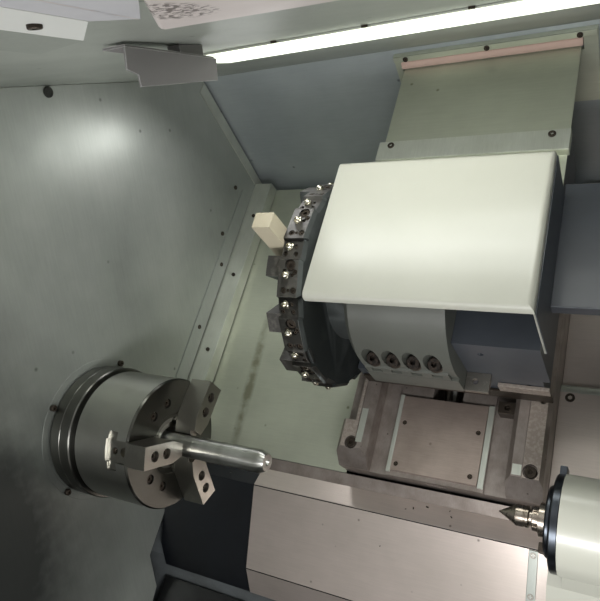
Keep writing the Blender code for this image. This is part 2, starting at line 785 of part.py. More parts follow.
def motor_and_belt():
    axis = empty("motor_axis", level, (0, MOTOR_Y, MOTOR_Z))
    body = rod("spindle_motor", MOTOR_RADIUS, -MOTOR_BACK, -MOTOR_FRONT, axis, SLATE_PAINT, steps=TURN_STEPS)
    foot = box("motor_foot", (-MOTOR_BACK, -MOTOR_FOOT_WIDE / 2, -BASE_TOP - MOTOR_Z + GAP),
               (-MOTOR_FRONT, MOTOR_FOOT_WIDE / 2, 0), axis)
    stub = rod("motor_stub", MOTOR_SHAFT_RADIUS, -MOTOR_SHAFT_BACK, -MOTOR_BACK + OVERRUN, axis)
    join(body, foot)
    join(body, stub)
    pulley("motor_pulley", MOTOR_PULLEY_RADIUS, MOTOR_SHAFT_RADIUS + GAP, axis)
    inner = belt_loop(GAP)
    outer = belt_loop(GAP + BELT_THICK)
    plate("drive_belt", outer, -PULLEY_BACK + BELT_INSET, -PULLEY_FRONT - BELT_INSET, "SN", level,
          RUBBER_BLACK, [inner])


def belt_loop(clear):
    """The line round both pulleys: two arcs joined by their outer tangents."""
    outside = 1 / math.cos(math.pi * 0.55 / BELT_ARC_STEPS)
    big = (SPINDLE_PULLEY_RADIUS + clear) * outside
    small = (MOTOR_PULLEY_RADIUS + clear) * outside
    span = math.hypot(MOTOR_Y, MOTOR_Z)
    towards = math.atan2(MOTOR_Z, MOTOR_Y)
    wrap = math.acos((big - small) / span)
    first = arc((0, 0), big, towards + wrap, towards + math.tau - wrap, BELT_ARC_STEPS)
    second = arc((MOTOR_Y, MOTOR_Z), small, towards - wrap, towards + wrap, BELT_ARC_STEPS)
    return first + second


def chuck():
    half = math.pi / JAW_COUNT
    profile = [(CHUCK_BORE, -CHUCK_RECESS), (CHUCK_RECESS_RADIUS, -CHUCK_RECESS), (CHUCK_RECESS_RADIUS, 0),
               (CHUCK_RADIUS - CHUCK_EDGE, 0), (CHUCK_RADIUS, -CHUCK_EDGE), (CHUCK_RADIUS, -CHUCK_LONG),
               (CHUCK_BORE, -CHUCK_LONG)]
    body = turned("chuck_body", profile, level, BRIGHT_STEEL, closed=True, steps=TURN_STEPS * 2)
    for index in range(JAW_COUNT):
        angle = JAW_FIRST + math.tau * index / JAW_COUNT
        radial = empty(f"jaw_axis_{index + 1}", slant, (0, 0, 0), (angle, 0, 0))
        slot_half = MASTER_WIDE / 2 + SLOT_CLEAR
        slot = box(f"jaw_slot_{index + 1}", (-MASTER_DEEP - MASTER_SINK - SLOT_CLEAR, SLOT_INNER, -slot_half),
                   (OVERRUN, CHUCK_RADIUS + OVERRUN, slot_half), radial)
        cut(body, slot)
        for side, way in (("low", -1), ("high", 1)):
            turn = half + way * CHUCK_SCREW_SPREAD
            hole_axis = empty(f"screw_axis_{index + 1}_{side}", radial, (0, 0, 0), (turn, 0, 0))
            hole = rod(f"face_screw_{index + 1}_{side}", CHUCK_SCREW_RADIUS, -CHUCK_SCREW_DEEP, OVERRUN,
                       hole_axis, None, "X", (0, CHUCK_SCREW_CIRCLE, 0))
            cut(body, hole)
        jaw(index + 1, radial)
    groove = -CHUCK_LONG - PLATE_GROOVE
    front = -CHUCK_LONG - GAP
    profile = [(PLATE_BORE, front), (PLATE_GROOVE_RADIUS, front), (PLATE_GROOVE_RADIUS, groove),
               (PLATE_RADIUS, groove), (PLATE_RADIUS, -PLATE_BACK), (PLATE_BORE, -PLATE_BACK)]
    turned("chuck_back_plate", profile, level, BRIGHT_STEEL, closed=True, steps=TURN_STEPS * 2)
    nose = BAR_RIGHT - BAR_TAPER
    profile = [(0, BAR_RIGHT - BAR_CENTRE_DEEP), (BAR_CENTRE_RADIUS, BAR_RIGHT), (BAR_TAPER_RADIUS, BAR_RIGHT),
               (BAR_RADIUS, nose), (BAR_RADIUS, -BAR_LEFT), (0, -BAR_LEFT)]
    turned("bar_workpiece", profile, level, BRIGHT_STEEL)


def jaw(number, radial):
    """One sliding master jaw in its slot, with the soft top jaw bolted on it."""
    box(f"master_jaw_{number}", (-MASTER_DEEP - MASTER_SINK, MASTER_INNER, -MASTER_WIDE / 2),
        (-GAP, MASTER_OUTER - JAW_TRAVEL, MASTER_WIDE / 2), radial, BRIGHT_STEEL)
    inner = BAR_RADIUS + GAP
    outline = [(inner, -JAW_NOSE_WIDE / 2), (JAW_SHOULDER, -JAW_WIDE / 2), (JAW_OUTER, -JAW_WIDE / 2),
               (JAW_OUTER, JAW_WIDE / 2), (JAW_SHOULDER, JAW_WIDE / 2), (inner, JAW_NOSE_WIDE / 2)]
    top = plate(f"top_jaw_{number}", outline, GAP, JAW_HIGH, "SN", radial, BRIGHT_STEEL)
    for place_name, reach in (("inner", JAW_BOLT_INNER), ("outer", JAW_BOLT_OUTER)):
        hole = rod(f"jaw_bolt_{number}_{place_name}", JAW_BOLT_RADIUS, JAW_HIGH - JAW_BOLT_DEEP,
                   JAW_HIGH + OVERRUN, radial, None, "X", (0, reach, 0))
        cut(top, hole)


def facet_s(n):
    """Where the leaning facet of the rear cover stands at a height n."""
    share = (n + FACET_FOOT_OUT) / (FACET_HEAD_OUT + FACET_FOOT_OUT)
    return FACET_FOOT_S + (FACET_HEAD_S - FACET_FOOT_S) * share


def wall_outline(low_n):
    """The side walls' outline: ceiling, leaning facet, step over the bed, and the chip pan."""
    clear = SHEET + GAP
    top = CEILING - GAP
    head_y = level_from_slant(facet_s(FACET_HEAD_OUT), FACET_HEAD_OUT)[0] - clear * 2
    foot_y, foot_z = level_from_slant(-WALL_FOOT_S, -WALL_STEP_OUT)
    front_y = -SHELL_FRONT + CHAMBER_SETBACK
    points = [slant_from_level(front_y, top), slant_from_level(head_y, top),
              (facet_s(-low_n) - clear, -low_n), (WALL_STEP_S, -low_n), (WALL_STEP_S, -WALL_STEP_OUT),
              (-WALL_FOOT_S, -WALL_STEP_OUT), slant_from_level(foot_y, -PAN_REAR_Z),
              slant_from_level(-PAN_FLOOR_REAR_Y, -PAN_FLOOR_Z + GAP * 2),
              slant_from_level(-PAN_FLOOR_FRONT_Y, -PAN_FLOOR_Z + GAP * 2),
              slant_from_level(front_y, -PAN_FRONT_Z + GAP * 2)]
    return points[::-1]


def chamber():
    hole = [circle((0, 0), WALL_HOLE_RADIUS, TURN_STEPS)]
    plate("headstock_wall", wall_outline(WALL_LOW_OUT), -WALL_X - SHEET, -WALL_X, "SN", slant, STAINLESS, hole)
    plate("right_wall", wall_outline(RIGHT_WALL_LOW_OUT), RIGHT_WALL_X - SHEET, RIGHT_WALL_X, "SN", slant,
          STAINLESS)
    left = -WALL_X + GAP
    right = RIGHT_WALL_X - SHEET - GAP
    ring_front = left + NOSE_RING_THICK
    profile = [(NOSE_RING_INNER, ring_front), (NOSE_RING_OUTER, ring_front), (NOSE_RING_OUTER, left),
               (NOSE_RING_INNER, left)]
    turned("nose_cover_ring", profile, level, STAINLESS, closed=True, steps=TURN_STEPS * 2)

    # The leaning facet travels with the carriage, and is built in its own plane from the foot upwards
    run_s = FACET_HEAD_S - FACET_FOOT_S
    run_n = FACET_HEAD_OUT + FACET_FOOT_OUT
    facet = empty("facet_frame", slant, (0, FACET_FOOT_S, -FACET_FOOT_OUT), (math.atan2(run_n, run_s), 0, 0))
    high = math.hypot(run_s, run_n)
    middle = (SLIDE_COLUMN_OUT + GAP + SHEET / 2 + FACET_FOOT_OUT) * high / run_n
    slot_left = SLIDE_BACK_LEFT - WIPER_SIDE_CLEAR
    slot_right = WAY_COVER_RIGHT + WIPER_SIDE_CLEAR
    slot = rectangle(slot_left, middle - WIPER_SLOT_LOW, slot_right, middle + WIPER_SLOT_HIGH)
    plate("upper_way_cover", rectangle(-LEFT_COVER_END, 0, UPPER_COVER_RIGHT, high), -SHEET, 0, "XS", facet,
          SLATE_PAINT, [slot])
    plate("wiper_frame", rectangle(WIPER_LEFT, WIPER_LOW, WIPER_RIGHT, WIPER_HIGH), GAP, GAP + WIPER_THICK,
          "XS", facet, STAINLESS, [slot])

    strip = [(left, -STRIP_TOP_OUT), (left + STRIP_WIDE, -STRIP_TOP_OUT),
             (left + STRIP_WIDE, -STRIP_TOP_OUT - STRIP_DROP)]
    sheet("bed_edge_strip", strip, STRIP_LOW_S, STRIP_HIGH_S, STRIP_SHEET, "XN", slant, BRIGHT_STEEL)

    rear_y = level_from_slant(facet_s(FACET_HEAD_OUT), FACET_HEAD_OUT)[0]
    front_y = -SHELL_FRONT + CHAMBER_SETBACK
    lamp_hole = rectangle(LAMP_LEFT, -LAMP_FRONT, LAMP_RIGHT, LAMP_REAR)
    ceiling = plate("ceiling_panel", rectangle(left, front_y, right, rear_y), CEILING, CEILING + SHEET, "XS",
                    level, STAINLESS, [lamp_hole])
    box("work_lamp", (LAMP_LEFT + GAP, -LAMP_FRONT + GAP, CEILING - LAMP_DROP),
        (LAMP_RIGHT - GAP, LAMP_REAR - GAP, CEILING + LAMP_RISE), level, LAMP_WHITE)
    bracket_run = [(BRACKET_RIGHT, CEILING - GAP), (BRACKET_RIGHT, CEILING - BRACKET_DROP),
                   (BRACKET_RIGHT - BRACKET_WIDE, CEILING - BRACKET_DROP),
                   (BRACKET_RIGHT - BRACKET_WIDE, CEILING - BRACKET_DROP - BRACKET_LIP)]
    bracket = sheet("ceiling_bracket", bracket_run, -BRACKET_FRONT, -BRACKET_REAR, BRACKET_SHEET, "XN", level,
                    STAINLESS)
    for share in (1 / 3, 2 / 3):
        y = -BRACKET_FRONT + (BRACKET_FRONT - BRACKET_REAR) * share
        x = BRACKET_RIGHT - BRACKET_WIDE / 2
        z = CEILING - BRACKET_DROP
        slot_cut = box(f"bracket_slot_{int(share * 3 + 0.5)}",
                       (x - BRACKET_SLOT_WIDE / 2, y - BRACKET_SLOT_LONG / 2, z - OVERRUN),
                       (x + BRACKET_SLOT_WIDE / 2, y + BRACKET_SLOT_LONG / 2, z + OVERRUN), level)
        cut(bracket, slot_cut)

    pan_run = [(PAN_REAR_Y, -PAN_REAR_Z), (-PAN_FLOOR_REAR_Y, -PAN_FLOOR_Z), (-PAN_FLOOR_FRONT_Y, -PAN_FLOOR_Z),
               (front_y, -PAN_FRONT_Z)]
    sheet("chip_pan", pan_run, left - SHEET - GAP * 2, right + SHEET + GAP * 2, SHEET, "SN", level, DARK_STEEL)


def cover_folds():
    return [(LIP_S, -LIP_OUT), (-RIDGE_S, -RIDGE_OUT), (-FACE_S, -FACE_OUT), (-SKIRT_S, -SKIRT_OUT)]


def bed_covers():
    left = -WALL_X + GAP
    run = [(BAND_S, -BAND_OUT)]
    run += [(s, n - FRONT_COVER_SINK) for s, n in cover_folds()]
    sheet("front_bed_cover", run, left, FRONT_COVER_RIGHT, STRIP_SHEET, "SN", slant, NAVY, -1.0)


def casing():
    front = -SHELL_FRONT
    low = (-SHELL_LEFT, front, -SHELL_BOTTOM)
    high = (SHELL_RIGHT, front + PAN_DEPTH, SHELL_TOP)
    frame = open_pan("front_frame", low, high, (0, 1, 0), level, SHELL_WHITE)
    opening = box("door_opening", (-DOOR_OPENING_LEFT, front - OVERRUN, -DOOR_OPENING_BOTTOM),
                  (DOOR_OPENING_RIGHT, front + PAN_DEPTH + OVERRUN, DOOR_OPENING_TOP), level)
    cut(frame, opening)
    open_pan("rear_cover", (-SHELL_LEFT, SHELL_REAR - PAN_DEPTH, -SHELL_BOTTOM),
             (SHELL_RIGHT, SHELL_REAR, SHELL_TOP), (0, -1, 0), level, SHELL_WHITE)
    side_low_y = front + PAN_DEPTH + GAP
    side_high_y = SHELL_REAR - PAN_DEPTH - GAP
    side_top = SHELL_TOP - PAN_DEPTH - GAP
    open_pan("left_end_cover", (-SHELL_LEFT, side_low_y, -SHELL_BOTTOM),
             (-SHELL_LEFT + PAN_DEPTH, side_high_y, side_top), (1, 0, 0), level, SHELL_WHITE)
    open_pan("right_end_cover", (SHELL_RIGHT - PAN_DEPTH, side_low_y, -SHELL_BOTTOM),
             (SHELL_RIGHT, side_high_y, side_top), (-1, 0, 0), level, SHELL_WHITE)
    open_pan("roof_cover", (-SHELL_LEFT, side_low_y, SHELL_TOP - PAN_DEPTH),
             (SHELL_RIGHT, side_high_y, SHELL_TOP), (0, 0, -1), level, SHELL_WHITE)


def door():
    front = -SHELL_FRONT
    right = -DOOR_OPENING_LEFT + DOOR_LAP * 3
    closed_width = DOOR_OPENING_LEFT + DOOR_OPENING_RIGHT + DOOR_LAP * 2
    left = right - closed_width
    low = -DOOR_OPENING_BOTTOM
    high = DOOR_OPENING_TOP + GAP * 6
    back = front - DOOR_STANDOFF
    face = back - DOOR_THICK
    window = rectangle(left + DOOR_FRAME_WIDE, low + DOOR_WINDOW_RAISE, right - DOOR_FRAME_WIDE,
                       high - DOOR_FRAME_WIDE)
    plate("door_panel", rectangle(left, low, right, high), face, back, "XZ", level, SHELL_WHITE, [window])
    middle = (face + back) / 2
    box("door_window", (window[0][0] + GAP, middle - WINDOW_THICK / 2, window[0][1] + GAP),
        (window[2][0] - GAP, middle + WINDOW_THICK / 2, window[2][1] - GAP), level, GLASS_TINT)
    door_handle(right - HANDLE_INSET, face - GAP, (low + high) / 2)
    track_low = high + GAP
    box("door_track", (left - TRACK_LAP / 2, front - TRACK_DEEP, track_low),
        (right + DOOR_TRAVEL + TRACK_LAP / 2, front - GAP, track_low + TRACK_HIGH), level, STAINLESS)


def door_handle(x, y, z):
    """A bent round bar with both feet on the door."""
    data = bpy.data.curves.new("door_handle", "CURVE")
    data.dimensions = "3D"
    data.bevel_depth = HANDLE_RADIUS
    data.bevel_resolution = 1
    data.use_fill_caps = True
    spline = data.splines.new("POLY")
    half = HANDLE_LONG / 2
    bend = HANDLE_FOOT
    route = [(0, -half), (-HANDLE_REACH + bend, -half), (-HANDLE_REACH, -half + bend),
             (-HANDLE_REACH, half - bend), (-HANDLE_REACH + bend, half), (0, half)]
    spline.points.add(len(route) - 1)
    for point, (out, up) in zip(spline.points, route):
        point.co = (x, y + out, z + up, 1)
    handle = bpy.data.objects.new("door_handle", data)
    PARTS.objects.link(handle)
    handle.parent = level
    data.materials.append(surface("door_handle", BLUED_STEEL))


def console():
    front = -SHELL_FRONT
    face = front - CONSOLE_DEEP
    right = CONSOLE_LEFT + CONSOLE_WIDE
    high = CONSOLE_LOW + CONSOLE_HIGH
    body = box("control_panel", (CONSOLE_LEFT, face, CONSOLE_LOW), (right, front - GAP, high), level,
               SLATE_PAINT)
    screen_top = high - SCREEN_MARGIN
    screen = box("screen_recess", (CONSOLE_LEFT + SCREEN_MARGIN, face - OVERRUN, screen_top - SCREEN_HIGH),
                 (right - SCREEN_MARGIN, face + SCREEN_DEEP, screen_top), level)
    round_edges(body, CONSOLE_BEVEL, CONSOLE_SEGMENTS)
    cut(body, screen)
    x = right - SCREEN_MARGIN - STOP_RADIUS
    z = CONSOLE_LOW + STOP_ABOVE_LOW
    button = empty("stop_axis", level, (x, -FRONT_REACH, z))
    hole = rod("stop_hole", STOP_STEM_RADIUS + GAP * 2, STOP_HEAD, STOP_HEAD + STOP_STANDOFF + STOP_STEM * 2,
               button, None, "Y")
    cut(body, hole)
    end = STOP_HEAD + STOP_STEM
    profile = [(0, end), (STOP_STEM_RADIUS, end), (STOP_STEM_RADIUS, STOP_HEAD), (STOP_RADIUS, STOP_HEAD),
               (STOP_RADIUS, STOP_HEAD / 3), (STOP_RADIUS * 2 / 3, 0), (0, 0)]
    turned("emergency_stop", profile, button, STOP_RED, "Y", steps=SMALL_STEPS + 6)


def saddle():
    left_way = SADDLE_LEFT_WAY + SADDLE_LEFT_WAY_WIDE
    right_way = SADDLE_RIGHT_WAY + SADDLE_RIGHT_WAY_WIDE
    slope = SADDLE_WAY_SLOPE
    outline = [(SADDLE_LEFT, -SADDLE_BOTTOM_OUT), (SADDLE_RIGHT, -SADDLE_BOTTOM_OUT),
               (SADDLE_RIGHT, -SADDLE_SIDE_OUT), (right_way, -SADDLE_WAY_OUT), (SADDLE_RIGHT_WAY, -SADDLE_WAY_OUT),
               (SADDLE_RIGHT_WAY - slope, -SADDLE_SIDE_OUT), (SADDLE_RIGHT_WAY - slope, -SADDLE_FLOOR_OUT),
               (SADDLE_BOSS_RIGHT, -SADDLE_FLOOR_OUT), (SADDLE_BOSS_RIGHT, -SADDLE_BOSS_OUT),
               (SADDLE_BOSS_LEFT, -SADDLE_BOSS_OUT), (SADDLE_BOSS_LEFT, -SADDLE_FLOOR_OUT),
               (left_way + slope, -SADDLE_FLOOR_OUT), (left_way + slope, -SADDLE_SIDE_OUT),
               (left_way, -SADDLE_WAY_OUT), (SADDLE_LEFT_WAY, -SADDLE_WAY_OUT), (SADDLE_LEFT, -SADDLE_SIDE_OUT)]
    body = plate("saddle", outline, SADDLE_LOW_S, SADDLE_HIGH_S, "XZ", slant, CAST_PAINT)

    # The nut of the long feed screw hangs in a tunnel along the underside
    tunnel_low = -SADDLE_BOTTOM_OUT - OVERRUN
    tunnel = box("saddle_tunnel", (SADDLE_LEFT - OVERRUN, Z_SCREW_S - Z_TUNNEL_HALF, tunnel_low),
                 (SADDLE_RIGHT + OVERRUN, Z_SCREW_S + Z_TUNNEL_HALF, -Z_SCREW_OUT + Z_TUNNEL_HALF), slant)
    nut = box("saddle_nut", (Z_NUT_LEFT, Z_SCREW_S - Z_NUT_HALF, -Z_SCREW_OUT - Z_NUT_HALF),
              (Z_NUT_LEFT + Z_NUT_LONG, Z_SCREW_S + Z_NUT_HALF, -Z_SCREW_OUT + Z_NUT_HALF), slant)
    bore = rod("saddle_nut_bore", Z_SCREW_RADIUS + GAP, SADDLE_LEFT - OVERRUN, SADDLE_RIGHT + OVERRUN, slant,
               None, "X", (0, Z_SCREW_S, -Z_SCREW_OUT), TURN_STEPS)
    groove_half = SCREW_GROOVE_WIDE / 2
    groove = box("cross_screw_groove", (X_SCREW_X - groove_half, SCREW_GROOVE_LOW_S, -SCREW_GROOVE_OUT),
                 (X_SCREW_X + groove_half, SCREW_GROOVE_HIGH_S, -SADDLE_BOSS_OUT + OVERRUN), slant)
    end_bore = rod("cross_screw_bore", X_SCREW_RADIUS + GAP, SCREW_GROOVE_HIGH_S - OVERRUN,
                   SADDLE_HIGH_S + OVERRUN, slant, None, "S", (X_SCREW_X, 0, -X_SCREW_OUT), TURN_STEPS)
    slot = box("saddle_slot", (SADDLE_SLOT_X - SADDLE_SLOT_LONG / 2, SADDLE_LOW_S - OVERRUN,
                               -SADDLE_SLOT_OUT - SADDLE_SLOT_WIDE / 2),
               (SADDLE_SLOT_X + SADDLE_SLOT_LONG / 2, SADDLE_LOW_S + SADDLE_SLOT_DEEP,
                -SADDLE_SLOT_OUT + SADDLE_SLOT_WIDE / 2), slant)
    cut(body, tunnel)
    join(body, nut)
    cut(body, bore)
    cut(body, groove)
    cut(body, end_bore)
    cut(body, slot)
    # The turret's disc dips past the left way at this pocket
    pocket = box("disc_pocket", (SADDLE_LEFT - OVERRUN, SADDLE_POCKET_LOW_S, -SADDLE_POCKET_OUT),
                 (SADDLE_POCKET_RIGHT, SADDLE_POCKET_HIGH_S, -SADDLE_WAY_OUT + OVERRUN), slant)
    cut(body, pocket)
    for side, left, right in (("left", SADDLE_LEFT, left_way + slope),
                              ("right", SADDLE_RIGHT_WAY - slope, SADDLE_RIGHT)):
        cut(body, end_wedge(f"way_end_{side}", left, right))
    box("saddle_plate", (PLATE_LEFT, PLATE_LOW_S, -SADDLE_BOSS_OUT + GAP),
        (PLATE_RIGHT, PLATE_HIGH_S, -PLATE_OUT), slant, STAINLESS)


def end_wedge(name, left, right):
    """The cutter that slopes the lower end of a way down to the saddle's floor."""
    top = -SADDLE_WAY_OUT + OVERRUN
    low_s = SADDLE_LOW_S - OVERRUN
    wedge = [(low_s, -SADDLE_FLOOR_OUT + OVERRUN), (SADDLE_LOW_S + SADDLE_END_CUT, top), (low_s, top)]
    return plate(name, wedge, left - GAP, right + GAP, "SN", slant)


def carriage_covers():
    level_n = -COVER_OUT - SHEET
    foot = (FACET_FOOT_S - SHEET - GAP * 2, -FACET_FOOT_OUT)
    run = [(COVER_LOW_S, level_n), (COVER_HIGH_S, level_n), foot]
    sheet("left_way_cover", run, -LEFT_COVER_END, SADDLE_LEFT - GAP, SHEET, "SN", slant, COVER_GREEN)
    roll = RIGHT_COVER_ROLL
    run = [(COVER_LOW_S, level_n), (RIGHT_COVER_HIGH_S - roll, level_n),
           (RIGHT_COVER_HIGH_S - roll / 3, level_n - roll / 4), (RIGHT_COVER_HIGH_S, level_n - roll),
           (COVER_HIGH_S, level_n - roll), foot]
    sheet("right_way_cover", run, SADDLE_RIGHT + GAP, RIGHT_COVER_END, SHEET, "SN", slant, COVER_PINK)


def feed_screws():
    axis = empty("z_screw_axis", slant, (0, Z_SCREW_S, -Z_SCREW_OUT))
    rod("z_ball_screw", Z_SCREW_RADIUS, -Z_SCREW_LEFT, Z_SCREW_RIGHT, axis, BRIGHT_STEEL)
    start = Z_SCREW_RIGHT + GAP
    box("z_servo_motor", (start, -Z_MOTOR_HALF, -Z_MOTOR_HALF),
        (start + Z_MOTOR_LONG, Z_MOTOR_HALF, Z_MOTOR_HALF), axis, SLATE_PAINT)
    axis = empty("x_screw_axis", slant, (X_SCREW_X, 0, -X_SCREW_OUT))
    rod("x_ball_screw", X_SCREW_RADIUS, SCREW_GROOVE_LOW_S + GAP * 2, SADDLE_HIGH_S, axis, BRIGHT_STEEL, "S")
    start = SADDLE_HIGH_S + GAP
    box("x_servo_motor", (-X_MOTOR_HALF, start, -X_MOTOR_HALF),
        (X_MOTOR_HALF, start + X_MOTOR_LONG, X_MOTOR_HALF), axis, SLATE_PAINT)


def cross_slide():
    base_right = SADDLE_RIGHT_WAY + SADDLE_RIGHT_WAY_WIDE
    bottom = -SADDLE_WAY_OUT + GAP
    column_right = HOOD_RIGHT - SHEET - GAP
    column_left = HOUSING_RIGHT + GAP
    back_s = HOOD_HIGH_S + GAP
    slide = box("cross_slide", (SLIDE_LEFT, SLIDE_LOW_S, bottom),
                (base_right, SLIDE_HIGH_S, -SLIDE_LEFT_TOP_OUT), slant, SLATE_PAINT)
    step = box("slide_step", (HOUSING_LEFT, SLIDE_LOW_S, -SLIDE_LEFT_TOP_OUT - OVERRUN),
               (base_right, SLIDE_HIGH_S, -SLIDE_TOP_OUT), slant)
    column = box("slide_column", (column_left, SLIDE_LOW_S, -SLIDE_TOP_OUT - OVERRUN),
                 (column_right, HOOD_HIGH_S - SHEET - GAP, SLIDE_COLUMN_OUT), slant)
    back = box("slide_back", (SLIDE_BACK_LEFT, back_s, -SLIDE_TOP_OUT - OVERRUN),
               (column_right, SLIDE_HIGH_S, SLIDE_COLUMN_OUT), slant)
    web = box("slide_web", (column_left, HOOD_HIGH_S - SHEET - GAP * 2, -SLIDE_TOP_OUT - OVERRUN),
              (column_right, back_s + GAP, HOOD_TOP_OUT - HOOD_SIDE_DROP - GAP), slant)
    nut = box("slide_nut", (X_SCREW_X - X_NUT_HALF, X_NUT_LOW_S, -X_SCREW_OUT - X_NUT_HALF),
              (X_SCREW_X + X_NUT_HALF, X_NUT_LOW_S + X_NUT_LONG, bottom + OVERRUN), slant)
    bore = rod("slide_nut_bore", X_SCREW_RADIUS + GAP, X_NUT_LOW_S - OVERRUN,
               X_NUT_LOW_S + X_NUT_LONG + OVERRUN, slant, None, "S", (X_SCREW_X, 0, -X_SCREW_OUT), TURN_STEPS)
    for block in (step, column, web, back, nut):
        join(slide, block)
    cut(slide, bore)


def turret_housing():
    foot = -SLIDE_TOP_OUT + GAP
    drop = math.asin(foot / HOUSING_RADIUS)
    knee = math.asin(-HOUSING_FOOT_OUT / HOUSING_RADIUS)
    outline = arc((TURRET_S, 0), HOUSING_RADIUS, drop, math.pi - knee, HOUSING_ARC_STEPS)
    outline += [(HOUSING_FOOT_S - HOUSING_POCKET_RADIUS, -HOUSING_FOOT_OUT),
                (HOUSING_FOOT_S - HOUSING_POCKET_RADIUS, foot)]
    body = plate("turret_housing", outline, HOUSING_LEFT, HOUSING_RIGHT, "SN", slant, GREY_PAINT)
    for index in range(HOUSING_POCKETS):
        x = HOUSING_POCKET_FIRST + HOUSING_POCKET_PITCH * index
        middle = (foot - HOUSING_FOOT_OUT) / 2
        pocket = box(f"housing_pocket_{index + 1}",
                     (x - HOUSING_POCKET_RADIUS, HOUSING_FOOT_S - HOUSING_POCKET_RADIUS - OVERRUN, middle),
                     (x + HOUSING_POCKET_RADIUS, HOUSING_POCKET_S + HOUSING_POCKET_RADIUS,
                      -HOUSING_FOOT_OUT + HOUSING_POCKET_RADIUS * 4), slant)
        cut(body, pocket)


def station_angle(index):
    return DISC_FIRST + math.tau * index / DISC_STATIONS


def turret_disc():
    axis = empty("turret_axis", slant, (0, TURRET_S, 0))
    outline = []
    for index in range(DISC_STATIONS):
        wide = station_angle(index)
        narrow = wide + math.pi / DISC_STATIONS
        corners = ((wide - DISC_WIDE_HALF, DISC_RADIUS), (wide + DISC_WIDE_HALF, DISC_RADIUS),
                   (narrow - DISC_NARROW_HALF, DISC_RADIUS - DISC_GROOVE),
                   (narrow + DISC_NARROW_HALF, DISC_RADIUS - DISC_GROOVE))
        outline += [(radius * math.cos(a), radius * math.sin(a)) for a, radius in corners]
    disc = plate("turret_disc", outline, DISC_LEFT, DISC_RIGHT, "SN", axis, DARK_STEEL)
    hub = rod("disc_hub", DISC_HUB_RADIUS, DISC_RIGHT - CLAMP_BURY, HOUSING_LEFT - GAP, axis, steps=TURN_STEPS)
    cap = rod("disc_cap", DISC_CAP_RADIUS, DISC_LEFT - DISC_CAP, DISC_LEFT + CLAMP_BURY, axis, steps=TURN_STEPS)
    join(disc, hub)
    join(disc, cap)
    for index in range(1, DISC_STATIONS):
        angle = station_angle(index) + CLAMP_OFFSET
        station = empty(f"station_{index + 1}", axis, (0, 0, 0), (angle, 0, 0))
        clamp = box(f"tool_clamp_{index + 1}", (CLAMP_LEFT, CLAMP_INNER, -CLAMP_WIDE / 2),
                    (DISC_LEFT + CLAMP_BURY, CLAMP_OUTER, CLAMP_WIDE / 2), station)
        join(disc, clamp)
    right = DISC_LEFT - GAP
    box("turning_tool", (right - TOOL_THICK, TOOL_LOW_S - TURRET_S, TOOL_INNER_OUT),
        (right, TOOL_LOW_S - TURRET_S + TOOL_WIDE, TOOL_OUTER_OUT), axis, CARDBOARD)


def hood():
    """The cream hood: a folded sheet open towards the turret disc and the operator."""
    mesh = box_mesh("turret_hood", (HOOD_LEFT, HOOD_LOW_S, HOOD_TOP_OUT - HOOD_SIDE_DROP),
                    (HOOD_RIGHT, HOOD_HIGH_S, HOOD_TOP_OUT))
    bm = bmesh.new()
    bm.from_mesh(mesh)
    gone = [face for face in bm.faces if face.normal.z < -0.5 or face.normal.x < -0.5 or face.normal.y < -0.5]
    bmesh.ops.delete(bm, geom=gone, context="FACES")
    lip_edges = [edge for edge in bm.edges if all(abs(v.co.z - HOOD_TOP_OUT) < GAP for v in edge.verts)
                 and all(abs(v.co.y - HOOD_LOW_S) < GAP for v in edge.verts)]
    grown = bmesh.ops.extrude_edge_only(bm, edges=lip_edges)
    moved = [item for item in grown["geom"] if isinstance(item, bmesh.types.BMVert)]
    bmesh.ops.translate(bm, verts=moved, vec=(0, 0, -HOOD_LIP))
    # The rear side hangs less deep than the right side, clear of the turret housing
    for vert in bm.verts:
        at_left_rear = abs(vert.co.x - HOOD_LEFT) < GAP and vert.co.z < HOOD_TOP_OUT - HOOD_LIP * 2
        if at_left_rear:
            vert.co.z = HOOD_TOP_OUT - HOOD_REAR_DROP
    bmesh.ops.remove_doubles(bm, verts=bm.verts, dist=0.00001)
    folds = [edge for edge in bm.edges if len(edge.link_faces) == 2
             and all(abs(v.co.z - HOOD_TOP_OUT) < GAP for v in edge.verts)]
    bmesh.ops.bevel(bm, geom=folds, offset=HOOD_CORNER, segments=HOOD_SEGMENTS, profile=0.5, affect="EDGES")
    bmesh.ops.recalc_face_normals(bm, faces=bm.faces)
    up = sum(face.normal.z for face in bm.faces)
    if up < 0:
        bmesh.ops.reverse_faces(bm, faces=bm.faces)
    bm.to_mesh(mesh)
    bm.free()
    piece = place("turret_hood", mesh, slant, CREAM)
    thicken(piece, SHEET)
    box("right_guard", (HOOD_RIGHT + GAP, GUARD_LOW_S, GUARD_TOP_OUT - GUARD_THICK),
        (GUARD_RIGHT, GUARD_HIGH_S, GUARD_TOP_OUT), slant, SLATE_PAINT)
    bottom = SLIDE_COLUMN_OUT + GAP
    cover = box("x_way_cover", (SLIDE_BACK_LEFT, HOOD_HIGH_S + GAP, bottom),
                (WAY_COVER_RIGHT, WAY_COVER_HIGH_S, bottom + SHEET), slant, COVER_GREEN)
    strip_high = bottom + SHEET + RETAINER_THICK
    strip = box("retainer_strip", (SLIDE_BACK_LEFT - RETAINER_LAP, RETAINER_LOW_S, bottom + SHEET / 2),
                (WAY_COVER_RIGHT + RETAINER_LAP, RETAINER_LOW_S + RETAINER_WIDE, strip_high), slant)
    join(cover, strip)


